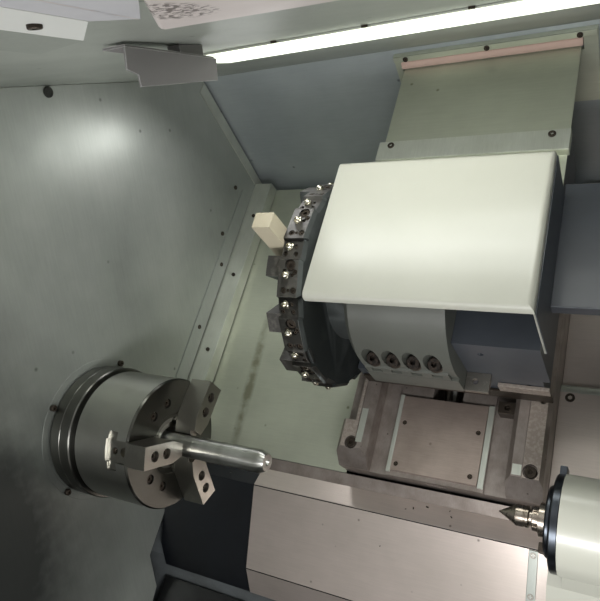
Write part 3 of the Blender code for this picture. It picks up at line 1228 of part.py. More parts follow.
def tailstock():
    foot = -TAIL_WAY_TOP_OUT + GAP
    outline = [(-TAIL_FOOT_LOW_S, foot), (TAIL_FOOT_HIGH_S, foot),
               (TAIL_FOOT_HIGH_S, -TAIL_NECK_OUT - TAIL_FOOT_HIGH), (TAIL_RADIUS / 2, 0), (-TAIL_RADIUS / 2, 0),
               (-TAIL_NECK_S, -TAIL_NECK_OUT),
               (-TAIL_NECK_LOW_S, -TAIL_NECK_OUT - TAIL_FOOT_HIGH), (-TAIL_FOOT_LOW_S, foot + TAIL_FOOT_HIGH)]
    body = plate("tailstock_body", outline, TAIL_FOOT_LEFT, TAIL_RIGHT - GAP, "SN", slant, CREAM)
    front = box("tail_front_cut", (TAIL_FOOT_LEFT - OVERRUN, -TAIL_NECK_S - OVERRUN, -TAIL_NECK_OUT),
                (TAIL_LEFT, TAIL_RADIUS, OVERRUN), slant)
    cut(body, front)
    barrel = rod("tail_barrel", TAIL_RADIUS, TAIL_LEFT, TAIL_RIGHT, level, steps=TURN_STEPS)
    join(body, barrel)
    bore = rod("quill_bore", QUILL_RADIUS + GAP, TAIL_FOOT_LEFT - OVERRUN, QUILL_BACK + OVERRUN, level,
               steps=TURN_STEPS)
    cut(body, bore)
    edge = QUILL_CHAMFER
    floor = QUILL_FRONT + QUILL_BORE_DEEP
    profile = [(0, QUILL_BACK), (QUILL_RADIUS, QUILL_BACK), (QUILL_RADIUS, QUILL_FRONT + edge),
               (QUILL_RADIUS - edge, QUILL_FRONT), (QUILL_BORE, QUILL_FRONT), (QUILL_BORE, floor), (0, floor)]
    turned("quill", profile, level, BLUED_STEEL)
    cone = CENTRE_TIP + CENTRE_CONE
    body_end = cone + CENTRE_BODY
    neck_end = body_end + CENTRE_NECK
    nut_end = neck_end + CENTRE_NUT
    flange_end = QUILL_FRONT - GAP
    shank_end = QUILL_FRONT + CENTRE_SHANK
    shank = QUILL_BORE - GAP
    profile = [(0, shank_end), (shank, shank_end), (shank, flange_end), (CENTRE_FLANGE_RADIUS, flange_end),
               (CENTRE_FLANGE_RADIUS, nut_end), (CENTRE_NUT_RADIUS, nut_end), (CENTRE_NUT_RADIUS, neck_end),
               (CENTRE_NECK_RADIUS, neck_end), (CENTRE_NECK_RADIUS, body_end), (CENTRE_RADIUS, body_end),
               (CENTRE_RADIUS, cone), (0, CENTRE_TIP)]
    turned("live_centre", profile, level, BRIGHT_STEEL, steps=TURN_STEPS - 8)
    sheet("tailstock_way_cover", cover_folds(), TAIL_COVER_LEFT, TAIL_FOOT_LEFT - GAP, STRIP_SHEET, "SN", slant,
          COVER_PINK, -1.0)


base_frame()
bed()
headstock()
spindle()
motor_and_belt()
chuck()
chamber()
bed_covers()
casing()
door()
console()
saddle()
carriage_covers()
feed_screws()
cross_slide()
turret_housing()
turret_disc()
hood()
tailstock()
for piece in PARTS.objects:
    if piece.type == "MESH" and not piece.modifiers.get("Turn"):
        smooth(piece.data)
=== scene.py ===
import bpy
import bmesh
import json
import math
from mathutils import Matrix, Vector


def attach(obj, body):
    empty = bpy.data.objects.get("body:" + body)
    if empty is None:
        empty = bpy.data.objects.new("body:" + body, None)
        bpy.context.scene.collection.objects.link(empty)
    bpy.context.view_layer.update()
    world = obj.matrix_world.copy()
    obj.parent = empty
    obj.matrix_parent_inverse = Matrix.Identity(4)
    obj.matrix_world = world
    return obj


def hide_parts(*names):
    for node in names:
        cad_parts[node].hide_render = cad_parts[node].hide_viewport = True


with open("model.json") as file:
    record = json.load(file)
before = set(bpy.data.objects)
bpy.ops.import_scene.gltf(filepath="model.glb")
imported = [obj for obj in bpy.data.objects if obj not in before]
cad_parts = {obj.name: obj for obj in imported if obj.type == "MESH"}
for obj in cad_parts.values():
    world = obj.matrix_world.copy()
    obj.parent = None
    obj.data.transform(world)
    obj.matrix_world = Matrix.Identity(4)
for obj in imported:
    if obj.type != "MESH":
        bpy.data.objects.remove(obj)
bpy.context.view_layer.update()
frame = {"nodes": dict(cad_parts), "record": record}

# Pieces are modelled in millimetres from the centre of the chuck's face and scaled when they are set in place.
# Level pieces use x along the spindle, y to the rear, z up. Slant pieces use x, s up the slope, n out of it.
mm = 0.001
levelFrame = Matrix.Translation((-0.07, -0.07, 1.01)) @ Matrix.Scale(mm, 4)
slantFrame = levelFrame @ Matrix.Rotation(math.radians(45), 4, "X")
print("frame loaded:", len(frame["nodes"]), "nodes")


# Small tools


def clearSelection():
    if bpy.context.object and bpy.context.object.mode != "OBJECT":
        bpy.ops.object.mode_set(mode="OBJECT")
    bpy.ops.object.select_all(action="DESELECT")


def pick(piece):
    clearSelection()
    piece.select_set(True)
    bpy.context.view_layer.objects.active = piece


def editEdges(piece, test):
    pick(piece)
    bpy.ops.object.mode_set(mode="EDIT")
    bpy.ops.mesh.select_mode(type="EDGE")
    bpy.ops.mesh.select_all(action="DESELECT")
    mesh = bmesh.from_edit_mesh(piece.data)
    for edge in mesh.edges:
        if test(edge.verts[0].co, edge.verts[1].co):
            edge.select_set(True)
    bmesh.update_edit_mesh(piece.data)


def leaveEdit():
    bpy.ops.object.mode_set(mode="OBJECT")


def addBlock(name, low, high):
    clearSelection()
    middle = [(a + b) / 2 for a, b in zip(low, high)]
    size = [b - a for a, b in zip(low, high)]
    bpy.ops.mesh.primitive_cube_add(size=1, location=middle, scale=size)
    piece = bpy.context.object
    piece.name = name
    bpy.ops.object.transform_apply(location=True, rotation=True, scale=True)
    return piece


axisTurns = {"x": (0, math.pi / 2, 0), "y": (-math.pi / 2, 0, 0), "z": (0, 0, 0)}


def addRod(name, radius, start, end, axis="x", centre=(0, 0, 0), sides=48):
    clearSelection()
    along = Vector(((axis == "x"), (axis == "y"), (axis == "z"))) * (start + end) / 2
    bpy.ops.mesh.primitive_cylinder_add(vertices=sides, radius=radius, depth=end - start,
                                        location=Vector(centre) + along, rotation=axisTurns[axis])
    piece = bpy.context.object
    piece.name = name
    bpy.ops.object.transform_apply(location=True, rotation=True, scale=True)
    return piece


def turnPiece(name, profile, axis="x", centre=(0, 0, 0), sides=96):
    # a filled circle drawn out and resized step by step along the profile of (radius, place) points
    clearSelection()
    radius, place = profile[0]
    bpy.ops.mesh.primitive_circle_add(vertices=sides, radius=radius, fill_type="NGON", location=(0, 0, place))
    piece = bpy.context.object
    piece.name = name
    bpy.ops.object.transform_apply(location=True, rotation=True, scale=True)
    bpy.ops.object.mode_set(mode="EDIT")
    bpy.ops.mesh.select_mode(type="FACE")
    bpy.ops.mesh.select_all(action="SELECT")
    for nextRadius, nextPlace in profile[1:]:
        bpy.ops.mesh.extrude_region_move(TRANSFORM_OT_translate={"value": (0, 0, nextPlace - place)})
        ratio = nextRadius / radius
        bpy.ops.transform.resize(value=(ratio, ratio, 1), center_override=(0, 0, nextPlace))
        radius, place = nextRadius, nextPlace
    bpy.ops.mesh.select_all(action="SELECT")
    bpy.ops.mesh.normals_make_consistent(inside=False)
    bpy.ops.object.mode_set(mode="OBJECT")
    piece.rotation_euler = axisTurns[axis]
    piece.location = centre
    bpy.ops.object.transform_apply(location=True, rotation=True, scale=True)
    return piece


def addSheet(name, outline, start, end, axis="x"):
    # a flat outline drawn as one face and pulled out along its axis
    clearSelection()
    bpy.ops.mesh.primitive_circle_add(vertices=len(outline), radius=1, fill_type="NGON")
    piece = bpy.context.object
    piece.name = name
    for corner, (u, v) in zip(piece.data.vertices, outline):
        corner.co = {"x": (start, u, v), "y": (u, start, v), "z": (u, v, start)}[axis]
    bpy.ops.object.mode_set(mode="EDIT")
    bpy.ops.mesh.select_all(action="SELECT")
    pull = {"x": (end - start, 0, 0), "y": (0, end - start, 0), "z": (0, 0, end - start)}[axis]
    bpy.ops.mesh.extrude_region_move(TRANSFORM_OT_translate={"value": pull})
    bpy.ops.mesh.select_all(action="SELECT")
    bpy.ops.mesh.normals_make_consistent(inside=False)
    bpy.ops.object.mode_set(mode="OBJECT")
    return piece


def applyModifier(piece, kind, **settings):
    pick(piece)
    modifier = piece.modifiers.new(kind.title(), kind)
    for key, value in settings.items():
        setattr(modifier, key, value)
    bpy.ops.object.modifier_apply(modifier=modifier.name)
    return piece


def cutAway(piece, *tools):
    for tool in tools:
        applyModifier(piece, "BOOLEAN", operation="DIFFERENCE", solver="EXACT", object=tool)
        bpy.data.objects.remove(tool)
    return piece


def weldOn(piece, *tools):
    for tool in tools:
        applyModifier(piece, "BOOLEAN", operation="UNION", solver="EXACT", object=tool)
        bpy.data.objects.remove(tool)
    return piece


def breakEdges(piece, width, segments=2, angle=38):
    return applyModifier(piece, "BEVEL", width=width, segments=segments, limit_method="ANGLE",
                         angle_limit=math.radians(angle), use_clamp_overlap=True, harden_normals=False)


def copyPiece(piece, name, matrix):
    copy = piece.copy()
    copy.data = piece.data.copy()
    copy.name = name
    copy.matrix_world = matrix @ piece.matrix_world
    bpy.context.scene.collection.objects.link(copy)
    return copy


def joinPieces(name, pieces):
    clearSelection()
    for piece in pieces:
        piece.select_set(True)
    bpy.context.view_layer.objects.active = pieces[0]
    bpy.ops.object.transform_apply(location=True, rotation=True, scale=True)
    if len(pieces) > 1:
        bpy.ops.object.join()
    pieces[0].name = name
    return pieces[0]


def settle(piece, where, body, material, slotName, *replaced):
    # scales the piece into metres at its place, smooths it and hands it to its body
    pick(piece)
    piece.matrix_world = where @ piece.matrix_world
    bpy.ops.object.transform_apply(location=True, rotation=True, scale=True)
    bpy.ops.object.shade_smooth_by_angle(angle=math.radians(32))
    applyModifier(piece, "WEIGHTED_NORMAL", keep_sharp=True)
    piece.data.materials.clear()
    piece.data.materials.append(material)
    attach(piece, body)
    if replaced:
        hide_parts(*replaced)
    return piece


# Materials


def linearColour(code):
    channels = [int(code[place:place + 2], 16) / 255 for place in (1, 3, 5)]
    return (*[c / 12.92 if c <= 0.04045 else ((c + 0.055) / 1.055) ** 2.4 for c in channels], 1.0)


def addNode(tree, kind, settings, links):
    node = tree.nodes.new(kind)
    for key, value in settings.items():
        if isinstance(key, int) or key in node.inputs:
            isHex = isinstance(value, str) and value.startswith("#")
            node.inputs[key].default_value = linearColour(value) if isHex else value
        else:
            setattr(node, key, value)
    for key, socket in links.items():
        tree.links.new(socket, node.inputs[key])
    return node


def startMaterial(name, settings):
    material = bpy.data.materials.new(name)
    material.use_nodes = True
    tree = material.node_tree
    shader = tree.nodes["Principled BSDF"]
    for key, value in settings.items():
        shader.inputs[key].default_value = value
    place = addNode(tree, "ShaderNodeTexCoord", {}, {}).outputs["Object"]
    return material, tree, shader, place


def perMm(size):
    return 1 / (size * mm)  # pattern scale for features of that size in millimetres


def span(low, high, start=0.0, end=1.0):
    # settings that bring the range from low to high onto the one from start to end
    return {"From Min": low, "From Max": high, "To Min": start, "To Max": end}


def softPatch(tree, place, patch):
    # one soft oval at its place on the piece, for a stain or a worn corner
    settings = {"vector_type": "TEXTURE", "Location": patch["centre"], "Rotation": patch["turn"],
                "Scale": patch["size"]}
    centred = addNode(tree, "ShaderNodeMapping", settings, {"Vector": place}).outputs["Vector"]
    ball = addNode(tree, "ShaderNodeTexGradient", {"gradient_type": "SPHERICAL"}, {"Vector": centred})
    return ball.outputs["Fac"]


def rolledSheet(name, look):
    # cold-rolled stainless sheet: soft cloudy reflections, faint rolling lines and a film of dried coolant
    material, tree, shader, place = startMaterial(name, {"Metallic": look["metallic"]})
    cloud = addNode(tree, "ShaderNodeTexNoise", {"Scale": perMm(look["cloudMm"]), "Detail": 5.0, "Roughness": 0.55},
                    {"Vector": place}).outputs["Fac"]
    film = addNode(tree, "ShaderNodeMapRange", span(0.35, 0.68), {"Value": cloud}).outputs["Result"]
    stretched = addNode(tree, "ShaderNodeMapping", {"Scale": look["grainScale"]},
                        {"Vector": place}).outputs["Vector"]
    grain = addNode(tree, "ShaderNodeTexNoise", {"Scale": perMm(look["grainMm"]), "Detail": 3.0},
                    {"Vector": stretched}).outputs["Fac"]
    colour = addNode(tree, "ShaderNodeMix", {"data_type": "RGBA", 6: look["colour"], 7: look["filmColour"]},
                     {0: film}).outputs[2]
    fleck = addNode(tree, "ShaderNodeTexVoronoi", {"Scale": perMm(look["dropMm"]), "Randomness": 1.0},
                    {"Vector": place}).outputs["Distance"]
    spots = addNode(tree, "ShaderNodeMapRange", span(0.02, 0.07, 1.0, 0.0), {"Value": fleck}).outputs["Result"]
    colour = addNode(tree, "ShaderNodeMix", {"data_type": "RGBA", 7: look["spotColour"]},
                     {0: spots, 6: colour}).outputs[2]
    # an optional soft patch: a real stain on the left way cover, painted shade on the wall's lower front
    if "stainAndShadePatch" in look:
        patchBreakup = addNode(tree, "ShaderNodeTexNoise", {"Scale": perMm(26), "Detail": 5.0},
                        {"Vector": place}).outputs["Fac"]
        patchBreakup = addNode(tree, "ShaderNodeMapRange", span(0.3, 0.6, look["patchBreakupFrom"]),
                        {"Value": patchBreakup}).outputs["Result"]
        stainAndShadeMask = addNode(tree, "ShaderNodeMath", {"operation": "MULTIPLY"},
                      {0: softPatch(tree, place, look["stainAndShadePatch"]), 1: patchBreakup}).outputs[0]
        stainAndShadeMask = addNode(tree, "ShaderNodeMapRange", span(0.0, 0.6, 0.0, look["stainAndShadeDepth"]),
                      {"Value": stainAndShadeMask}).outputs["Result"]
        colour = addNode(tree, "ShaderNodeMix", {"data_type": "RGBA", 7: look["stainAndShadeColour"]},
                         {0: stainAndShadeMask, 6: colour}).outputs[2]
    lines = addNode(tree, "ShaderNodeMapRange", span(0.3, 0.7), {"Value": grain}).outputs["Result"]
    shade = addNode(tree, "ShaderNodeMix", {"data_type": "RGBA", "blend_type": "MULTIPLY", 0: look["grainDepth"]},
                    {6: colour, 7: lines}).outputs[2]
    tree.links.new(shade, shader.inputs["Base Color"])
    low, high = look["roughness"]
    rough = addNode(tree, "ShaderNodeMapRange", {"To Min": low, "To Max": high}, {"Value": cloud})
    tree.links.new(rough.outputs["Result"], shader.inputs["Roughness"])
    bump = addNode(tree, "ShaderNodeBump", {"Strength": look["bump"], "Distance": 0.0002}, {"Height": grain})
    tree.links.new(bump.outputs["Normal"], shader.inputs["Normal"])
    return material


def turnedSteel(name, look):
    # lathe-turned steel: fine rings round the spindle line on faces and sides alike
    material, tree, shader, place = startMaterial(name, {"Metallic": 1.0, "Anisotropic": look["drawnOut"],
                                                         "Anisotropic Rotation": 0.25})
    along = addNode(tree, "ShaderNodeTangent", {"direction_type": "RADIAL", "axis": "X"}, {}).outputs["Tangent"]
    tree.links.new(along, shader.inputs["Tangent"])
    moved = addNode(tree, "ShaderNodeMapping", {"Location": look["axisOffset"]},
                    {"Vector": place}).outputs["Vector"]
    parts = addNode(tree, "ShaderNodeSeparateXYZ", {}, {"Vector": moved})
    radius = addNode(tree, "ShaderNodeMath", {"operation": "MULTIPLY"},
                     {0: parts.outputs["Y"], 1: parts.outputs["Y"]}).outputs[0]
    other = addNode(tree, "ShaderNodeMath", {"operation": "MULTIPLY_ADD"},
                    {0: parts.outputs["Z"], 1: parts.outputs["Z"], 2: radius}).outputs[0]
    radius = addNode(tree, "ShaderNodeMath", {"operation": "SQRT"}, {0: other}).outputs[0]
    ringPlace = addNode(tree, "ShaderNodeCombineXYZ", {}, {"X": parts.outputs["X"], "Y": radius}).outputs["Vector"]
    rings = addNode(tree, "ShaderNodeTexNoise", {"Scale": perMm(look["ringMm"]), "Detail": 2.0, "Roughness": 0.6},
                    {"Vector": ringPlace}).outputs["Fac"]
    broad = addNode(tree, "ShaderNodeTexNoise", {"Scale": perMm(look["bandMm"]), "Detail": 1.0},
                    {"Vector": ringPlace}).outputs["Fac"]
    smudge = addNode(tree, "ShaderNodeTexNoise", {"Scale": perMm(look["smudgeMm"]), "Detail": 5.0},
                     {"Vector": place}).outputs["Fac"]
    bands = addNode(tree, "ShaderNodeMapRange", span(0.35, 0.65), {"Value": broad}).outputs["Result"]
    colour = addNode(tree, "ShaderNodeMix", {"data_type": "RGBA", 6: look["colour"], 7: look["bandColour"]},
                     {0: bands}).outputs[2]
    touched = addNode(tree, "ShaderNodeMapRange", span(0.52, 0.75, 0.0, 0.6), {"Value": smudge}).outputs["Result"]
    colour = addNode(tree, "ShaderNodeMix", {"data_type": "RGBA", 7: look["smudgeColour"]},
                     {0: touched, 6: colour}).outputs[2]
    # an optional soft patch of painted shade, for the chuck's face
    if "faceShadePatch" in look:
        faceShade = addNode(tree, "ShaderNodeMapRange", span(0.02, 0.12, 0.0, 0.85),
                      {"Value": softPatch(tree, place, look["faceShadePatch"])}).outputs["Result"]
        colour = addNode(tree, "ShaderNodeMix", {"data_type": "RGBA", 7: look["faceShadeColour"]},
                         {0: faceShade, 6: colour}).outputs[2]
    tree.links.new(colour, shader.inputs["Base Color"])
    low, high = look["roughness"]
    rough = addNode(tree, "ShaderNodeMapRange", {"To Min": low, "To Max": high}, {"Value": smudge})
    tree.links.new(rough.outputs["Result"], shader.inputs["Roughness"])
    bump = addNode(tree, "ShaderNodeBump", {"Strength": look["bump"], "Distance": 0.0003}, {"Height": rings})
    tree.links.new(bump.outputs["Normal"], shader.inputs["Normal"])
    return material


def edgeWearAndHighlightSteel(name, look):
    # ground, hardened or blackened steel whose edges are paler, partly from wear and partly as painted highlight
    material, tree, shader, place = startMaterial(name, {"Metallic": look["metallic"]})
    patch = addNode(tree, "ShaderNodeTexNoise", {"Scale": perMm(look["patchMm"]), "Detail": 6.0, "Roughness": 0.62},
                    {"Vector": place}).outputs["Fac"]
    rounded = addNode(tree, "ShaderNodeBevel", {"samples": 4, "Radius": look["edgeMm"] * mm}, {}).outputs["Normal"]
    flat = addNode(tree, "ShaderNodeNewGeometry", {}, {}).outputs["Normal"]
    apart = addNode(tree, "ShaderNodeVectorMath", {"operation": "DOT_PRODUCT"},
                    {0: rounded, 1: flat}).outputs["Value"]
    # the rounded edges made paler: wear, and painted highlight
    edge = addNode(tree, "ShaderNodeMapRange", {"From Min": 0.995, "From Max": 0.82},
                   {"Value": apart}).outputs["Result"]
    uneven = addNode(tree, "ShaderNodeMapRange", span(0.3, 0.6, 0.2), {"Value": patch}).outputs["Result"]
    edgeWearAndHighlight = addNode(tree, "ShaderNodeMath", {"operation": "MULTIPLY"}, {0: edge, 1: uneven}).outputs[0]
    rubbed = addNode(tree, "ShaderNodeMapRange",
                     span(look["rubFrom"], look["rubFrom"] + 0.14, 0.0, look["rubDepth"]),
                     {"Value": patch}).outputs["Result"]
    most = addNode(tree, "ShaderNodeMath", {"operation": "MAXIMUM"}, {0: edgeWearAndHighlight, 1: rubbed}).outputs[0]
    colour = addNode(tree, "ShaderNodeMix", {"data_type": "RGBA", 6: look["colour"], 7: look["wearAndHighlightColour"]},
                     {0: most}).outputs[2]
    tree.links.new(colour, shader.inputs["Base Color"])
    low, high = look["roughness"]
    rough = addNode(tree, "ShaderNodeMapRange", {"To Min": high, "To Max": low}, {"Value": most})
    tree.links.new(rough.outputs["Result"], shader.inputs["Roughness"])
    grit = addNode(tree, "ShaderNodeTexNoise", {"Scale": perMm(look["gritMm"]), "Detail": 2.0},
                   {"Vector": place}).outputs["Fac"]
    bump = addNode(tree, "ShaderNodeBump", {"Strength": look["bump"], "Distance": 0.0002}, {"Height": grit})
    tree.links.new(bump.outputs["Normal"], shader.inputs["Normal"])
    return material


def sprayedPaint(name, look):
    # stoved enamel or powder coat: an even colour, orange peel, a little dulling and dirt
    material, tree, shader, place = startMaterial(name, {"Metallic": 0.0, "Coat Weight": look["coat"],
                                                         "Coat Roughness": 0.12})
    dirt = addNode(tree, "ShaderNodeTexNoise", {"Scale": perMm(look["dirtMm"]), "Detail": 6.0, "Roughness": 0.6},
                   {"Vector": place}).outputs["Fac"]
    shade = addNode(tree, "ShaderNodeMapRange", span(0.4, 0.75, 0.0, look["dirtDepth"]),
                    {"Value": dirt}).outputs["Result"]
    colour = addNode(tree, "ShaderNodeMix", {"data_type": "RGBA", 6: look["colour"], 7: look["dirtColour"]},
                     {0: shade}).outputs[2]
    if "flaked" in look:
        flake = addNode(tree, "ShaderNodeTexNoise", {"Scale": perMm(3.2), "Detail": 3.0, "Roughness": 0.6},
                        {"Vector": place}).outputs["Fac"]
        flake = addNode(tree, "ShaderNodeMapRange", span(0.5, 0.56), {"Value": flake}).outputs["Result"]
        bare = addNode(tree, "ShaderNodeMath", {"operation": "MULTIPLY"},
                       {0: softPatch(tree, place, look["flaked"]), 1: flake}).outputs[0]
        bare = addNode(tree, "ShaderNodeMapRange", span(0.05, 0.3, 0.0, 0.9), {"Value": bare}).outputs["Result"]
        colour = addNode(tree, "ShaderNodeMix", {"data_type": "RGBA", 7: look["flakeColour"]},
                         {0: bare, 6: colour}).outputs[2]
    tree.links.new(colour, shader.inputs["Base Color"])
    low, high = look["roughness"]
    rough = addNode(tree, "ShaderNodeMapRange", {"To Min": low, "To Max": high}, {"Value": dirt})
    tree.links.new(rough.outputs["Result"], shader.inputs["Roughness"])
    peel = addNode(tree, "ShaderNodeTexNoise", {"Scale": perMm(look["peelMm"]), "Detail": 2.0},
                   {"Vector": place}).outputs["Fac"]
    bump = addNode(tree, "ShaderNodeBump", {"Strength": look["bump"], "Distance": 0.0003}, {"Height": peel})
    tree.links.new(bump.outputs["Normal"], shader.inputs["Normal"])
    return material


def plainFinish(name, settings, grainMm, bumpStrength):
    # moulded or cast stuff with one colour and a fine grain
    material, tree, shader, place = startMaterial(name, settings)
    grain = addNode(tree, "ShaderNodeTexNoise", {"Scale": perMm(grainMm), "Detail": 3.0}, {"Vector": place})
    bump = addNode(tree, "ShaderNodeBump", {"Strength": bumpStrength, "Distance": 0.0002},
                   {"Height": grain.outputs["Fac"]})
    tree.links.new(bump.outputs["Normal"], shader.inputs["Normal"])
    return material


# cold-rolled stainless wall: green-grey, cloudy, its lower front darkened by painted shade
wallSteel = rolledSheet("rolledStainlessWall", {
    "metallic": 0.5, "colour": "#b4b8b1", "filmColour": "#999e97", "spotColour": "#767a73", "cloudMm": 260,
    "dropMm": 60, "grainMm": 3, "grainScale": (1, 1, 0.06), "grainDepth": 0.06, "roughness": (0.34, 0.5),
    "bump": 0.1, "stainAndShadeColour": "#262827", "stainAndShadeDepth": 0.92, "patchBreakupFrom": 0.9,
    "stainAndShadePatch": {"centre": (-0.235, -0.36, 0.93), "turn": (0.0, 0.0, 0.0), "size": (0.09, 0.33, 0.46)}})
# cold-rolled stainless covers: yellowish grey with faint lines along the spindle
coverLook = {
    "metallic": 0.6, "colour": "#c9cdbb", "filmColour": "#b5b9a8", "spotColour": "#85886f", "cloudMm": 190,
    "dropMm": 55, "grainMm": 2.2, "grainScale": (0.05, 1, 1), "grainDepth": 0.06, "roughness": (0.32, 0.46),
    "bump": 0.1}
coverSteel = rolledSheet("rolledStainlessCover", coverLook)
# the tailstock's cover, handled and warmer: pinkish grey and a little shinier
lowerSteel = rolledSheet("rolledStainlessLower", {
    "metallic": 0.6, "colour": "#dacdc5", "filmColour": "#c9beb5", "spotColour": "#8a7f76", "cloudMm": 150,
    "dropMm": 40, "grainMm": 2.2, "grainScale": (0.05, 1, 1), "grainDepth": 0.06, "roughness": (0.28, 0.42),
    "bump": 0.1})
# newer stainless strips: the palest and cleanest sheet in the chamber, also laid on the right cover's fold as a
# painted highlight
brightSheet = rolledSheet("brightStainlessStrip", {
    "metallic": 0.65, "colour": "#d6d9cf", "filmColour": "#c6c9be", "spotColour": "#93968a", "cloudMm": 90,
    "dropMm": 50, "grainMm": 1.5, "grainScale": (1, 0.06, 0.06), "grainDepth": 0.08, "roughness": (0.25, 0.4),
    "bump": 0.12})
# the left way cover: the same sheet with a run of dried coolant up its slope
leftCoverSteel = rolledSheet("rolledStainlessStained", {
    **coverLook, "stainAndShadeColour": "#77735a", "stainAndShadeDepth": 0.75, "patchBreakupFrom": 0.1,
    "stainAndShadePatch": {"centre": (-0.1015, 0.2065, 0.9895), "turn": (math.radians(45), 0, 0.06),
              "size": (0.014, 0.19, 0.06)}})
# stainless facets at the rear: bluish and duller
facetSteel = rolledSheet("rolledStainlessFacet", {
    "metallic": 0.45, "colour": "#b2b9bb", "filmColour": "#a0a7aa", "spotColour": "#6f7478", "cloudMm": 220,
    "dropMm": 60, "grainMm": 3, "grainScale": (0.06, 1, 1), "grainDepth": 0.06, "roughness": (0.4, 0.55),
    "bump": 0.1})
# brushed steel plate: warm grey with fine lines along the spindle
plateSteel = rolledSheet("brushedPlateSteel", {
    "metallic": 0.8, "colour": "#c6b5ab", "filmColour": "#b0a096", "spotColour": "#95877d", "cloudMm": 60,
    "dropMm": 45, "grainMm": 1.2, "grainScale": (0.05, 1, 1), "grainDepth": 0.1, "roughness": (0.28, 0.42),
    "bump": 0.12})
# milled cast iron: brownish grey, mottled, with faint cutter lines
milledIron = rolledSheet("milledCastIron", {
    "metallic": 0.65, "colour": "#a89e97", "filmColour": "#8b817a", "spotColour": "#5c534b", "cloudMm": 34,
    "dropMm": 26, "grainMm": 1.2, "grainScale": (1, 0.2, 0.2), "grainDepth": 0.12, "roughness": (0.32, 0.5),
    "bump": 0.2})
spindleAxis = (0, 0.07, -1.01)
# turned steel: the tool's rings draw one broad highlight across the drum
turnedLook = {
    "axisOffset": spindleAxis, "ringMm": 1.1, "bandMm": 30, "smudgeMm": 70, "colour": "#b6b6b0",
    "bandColour": "#b8b8b1", "smudgeColour": "#9d9a92", "roughness": (0.26, 0.36), "drawnOut": 0.75,
    "bump": 0.12}
# turned chuck: pale grey drum, and a face darkened by a soft patch of painted shade
chuckSteel = turnedSteel("turnedChuckSteel", {
    **turnedLook, "faceShadeColour": "#34342f",
    "faceShadePatch": {"centre": (-0.064, -0.07, 1.01), "turn": (0.0, 0.0, 0.0), "size": (0.012, 0.2, 0.2)}})
# turned back plate: the same rings, much darker as painted shade
plateRimSteel = turnedSteel("turnedBackPlateSteel", {
    **turnedLook, "colour": "#73736e", "bandColour": "#6b6b66", "smudgeColour": "#5f5d58"})
# freshly turned bar: bright, with one long highlight
barSteel = turnedSteel("turnedBarSteel", {**turnedLook, "colour": "#dededa"})
# ground and blued quill: dark blue-grey with a tight highlight
quillSteel = turnedSteel("groundQuillSteel", {
    "axisOffset": spindleAxis, "ringMm": 2, "bandMm": 18, "smudgeMm": 30, "colour": "#55595f",
    "bandColour": "#464a50", "smudgeColour": "#2f343a", "roughness": (0.25, 0.42), "drawnOut": 0.5,
    "bump": 0.12})
# ground live centre: warm steel with fine rings and brown stains
centreSteel = turnedSteel("groundCentreSteel", {
    "axisOffset": spindleAxis, "ringMm": 1.2, "bandMm": 9, "smudgeMm": 12, "colour": "#b8aea2",
    "bandColour": "#9b9084", "smudgeColour": "#6d6155", "roughness": (0.2, 0.36), "drawnOut": 0.4, "bump": 0.2})
# ground and hardened jaws: plain grey faces with bright edges, partly worn and partly painted highlight
jawSteel = edgeWearAndHighlightSteel("groundJawSteel", {
    "metallic": 1.0, "patchMm": 30, "edgeMm": 0.8, "colour": "#a3a098", "wearAndHighlightColour": "#d8d6cf", "rubFrom": 0.56,
    "rubDepth": 0.2, "roughness": (0.2, 0.34), "gritMm": 0.8, "bump": 0.1})
# blackened tool steel: near black, rubbed grey in patches and bright on its edges
blackSteel = edgeWearAndHighlightSteel("blackenedTurretSteel", {
    "metallic": 0.5, "patchMm": 12, "edgeMm": 0.9, "colour": "#4c4a47", "wearAndHighlightColour": "#8b8880", "rubFrom": 0.52,
    "rubDepth": 0.3, "roughness": (0.36, 0.5), "gritMm": 0.9, "bump": 0.15})
# oiled turret steel: dark green-grey with a soft shine
discSteel = edgeWearAndHighlightSteel("oiledTurretDiscSteel", {
    "metallic": 0.4, "patchMm": 60, "edgeMm": 0.8, "colour": "#484c4b", "wearAndHighlightColour": "#606463", "rubFrom": 0.5,
    "rubDepth": 0.4, "roughness": (0.34, 0.5), "gritMm": 1.2, "bump": 0.08})
# blackened screws: dark brown heads with paler rims
screwSteel = edgeWearAndHighlightSteel("blackenedScrewSteel", {
    "metallic": 0.7, "patchMm": 6, "edgeMm": 0.5, "colour": "#3d362f", "wearAndHighlightColour": "#8a7d6d", "rubFrom": 0.6,
    "rubDepth": 0.3, "roughness": (0.32, 0.5), "gritMm": 0.6, "bump": 0.15})
# screws that sit in coolant: almost black, rough, with a brown bloom
rustyScrew = edgeWearAndHighlightSteel("rustySocketScrew", {
    "metallic": 0.45, "patchMm": 5, "edgeMm": 0.6, "colour": "#1d1814", "wearAndHighlightColour": "#3f3329", "rubFrom": 0.46,
    "rubDepth": 0.6, "roughness": (0.45, 0.7), "gritMm": 0.7, "bump": 0.3})
# zinc-plated screws: light grey and evenly shiny
zincScrew = edgeWearAndHighlightSteel("zincScrewSteel", {
    "metallic": 1.0, "patchMm": 6, "edgeMm": 0.5, "colour": "#8f8b84", "wearAndHighlightColour": "#b9b5ad", "rubFrom": 0.55,
    "rubDepth": 0.4, "roughness": (0.26, 0.42), "gritMm": 0.6, "bump": 0.12})
# scraped cast iron: pale mottled flakes that give the way its grain
scrapedIron = edgeWearAndHighlightSteel("scrapedCastIron", {
    "metallic": 0.6, "patchMm": 5, "edgeMm": 0.8, "colour": "#a0958c", "wearAndHighlightColour": "#c0b5aa", "rubFrom": 0.46,
    "rubDepth": 0.5, "roughness": (0.36, 0.55), "gritMm": 1.6, "bump": 0.35})
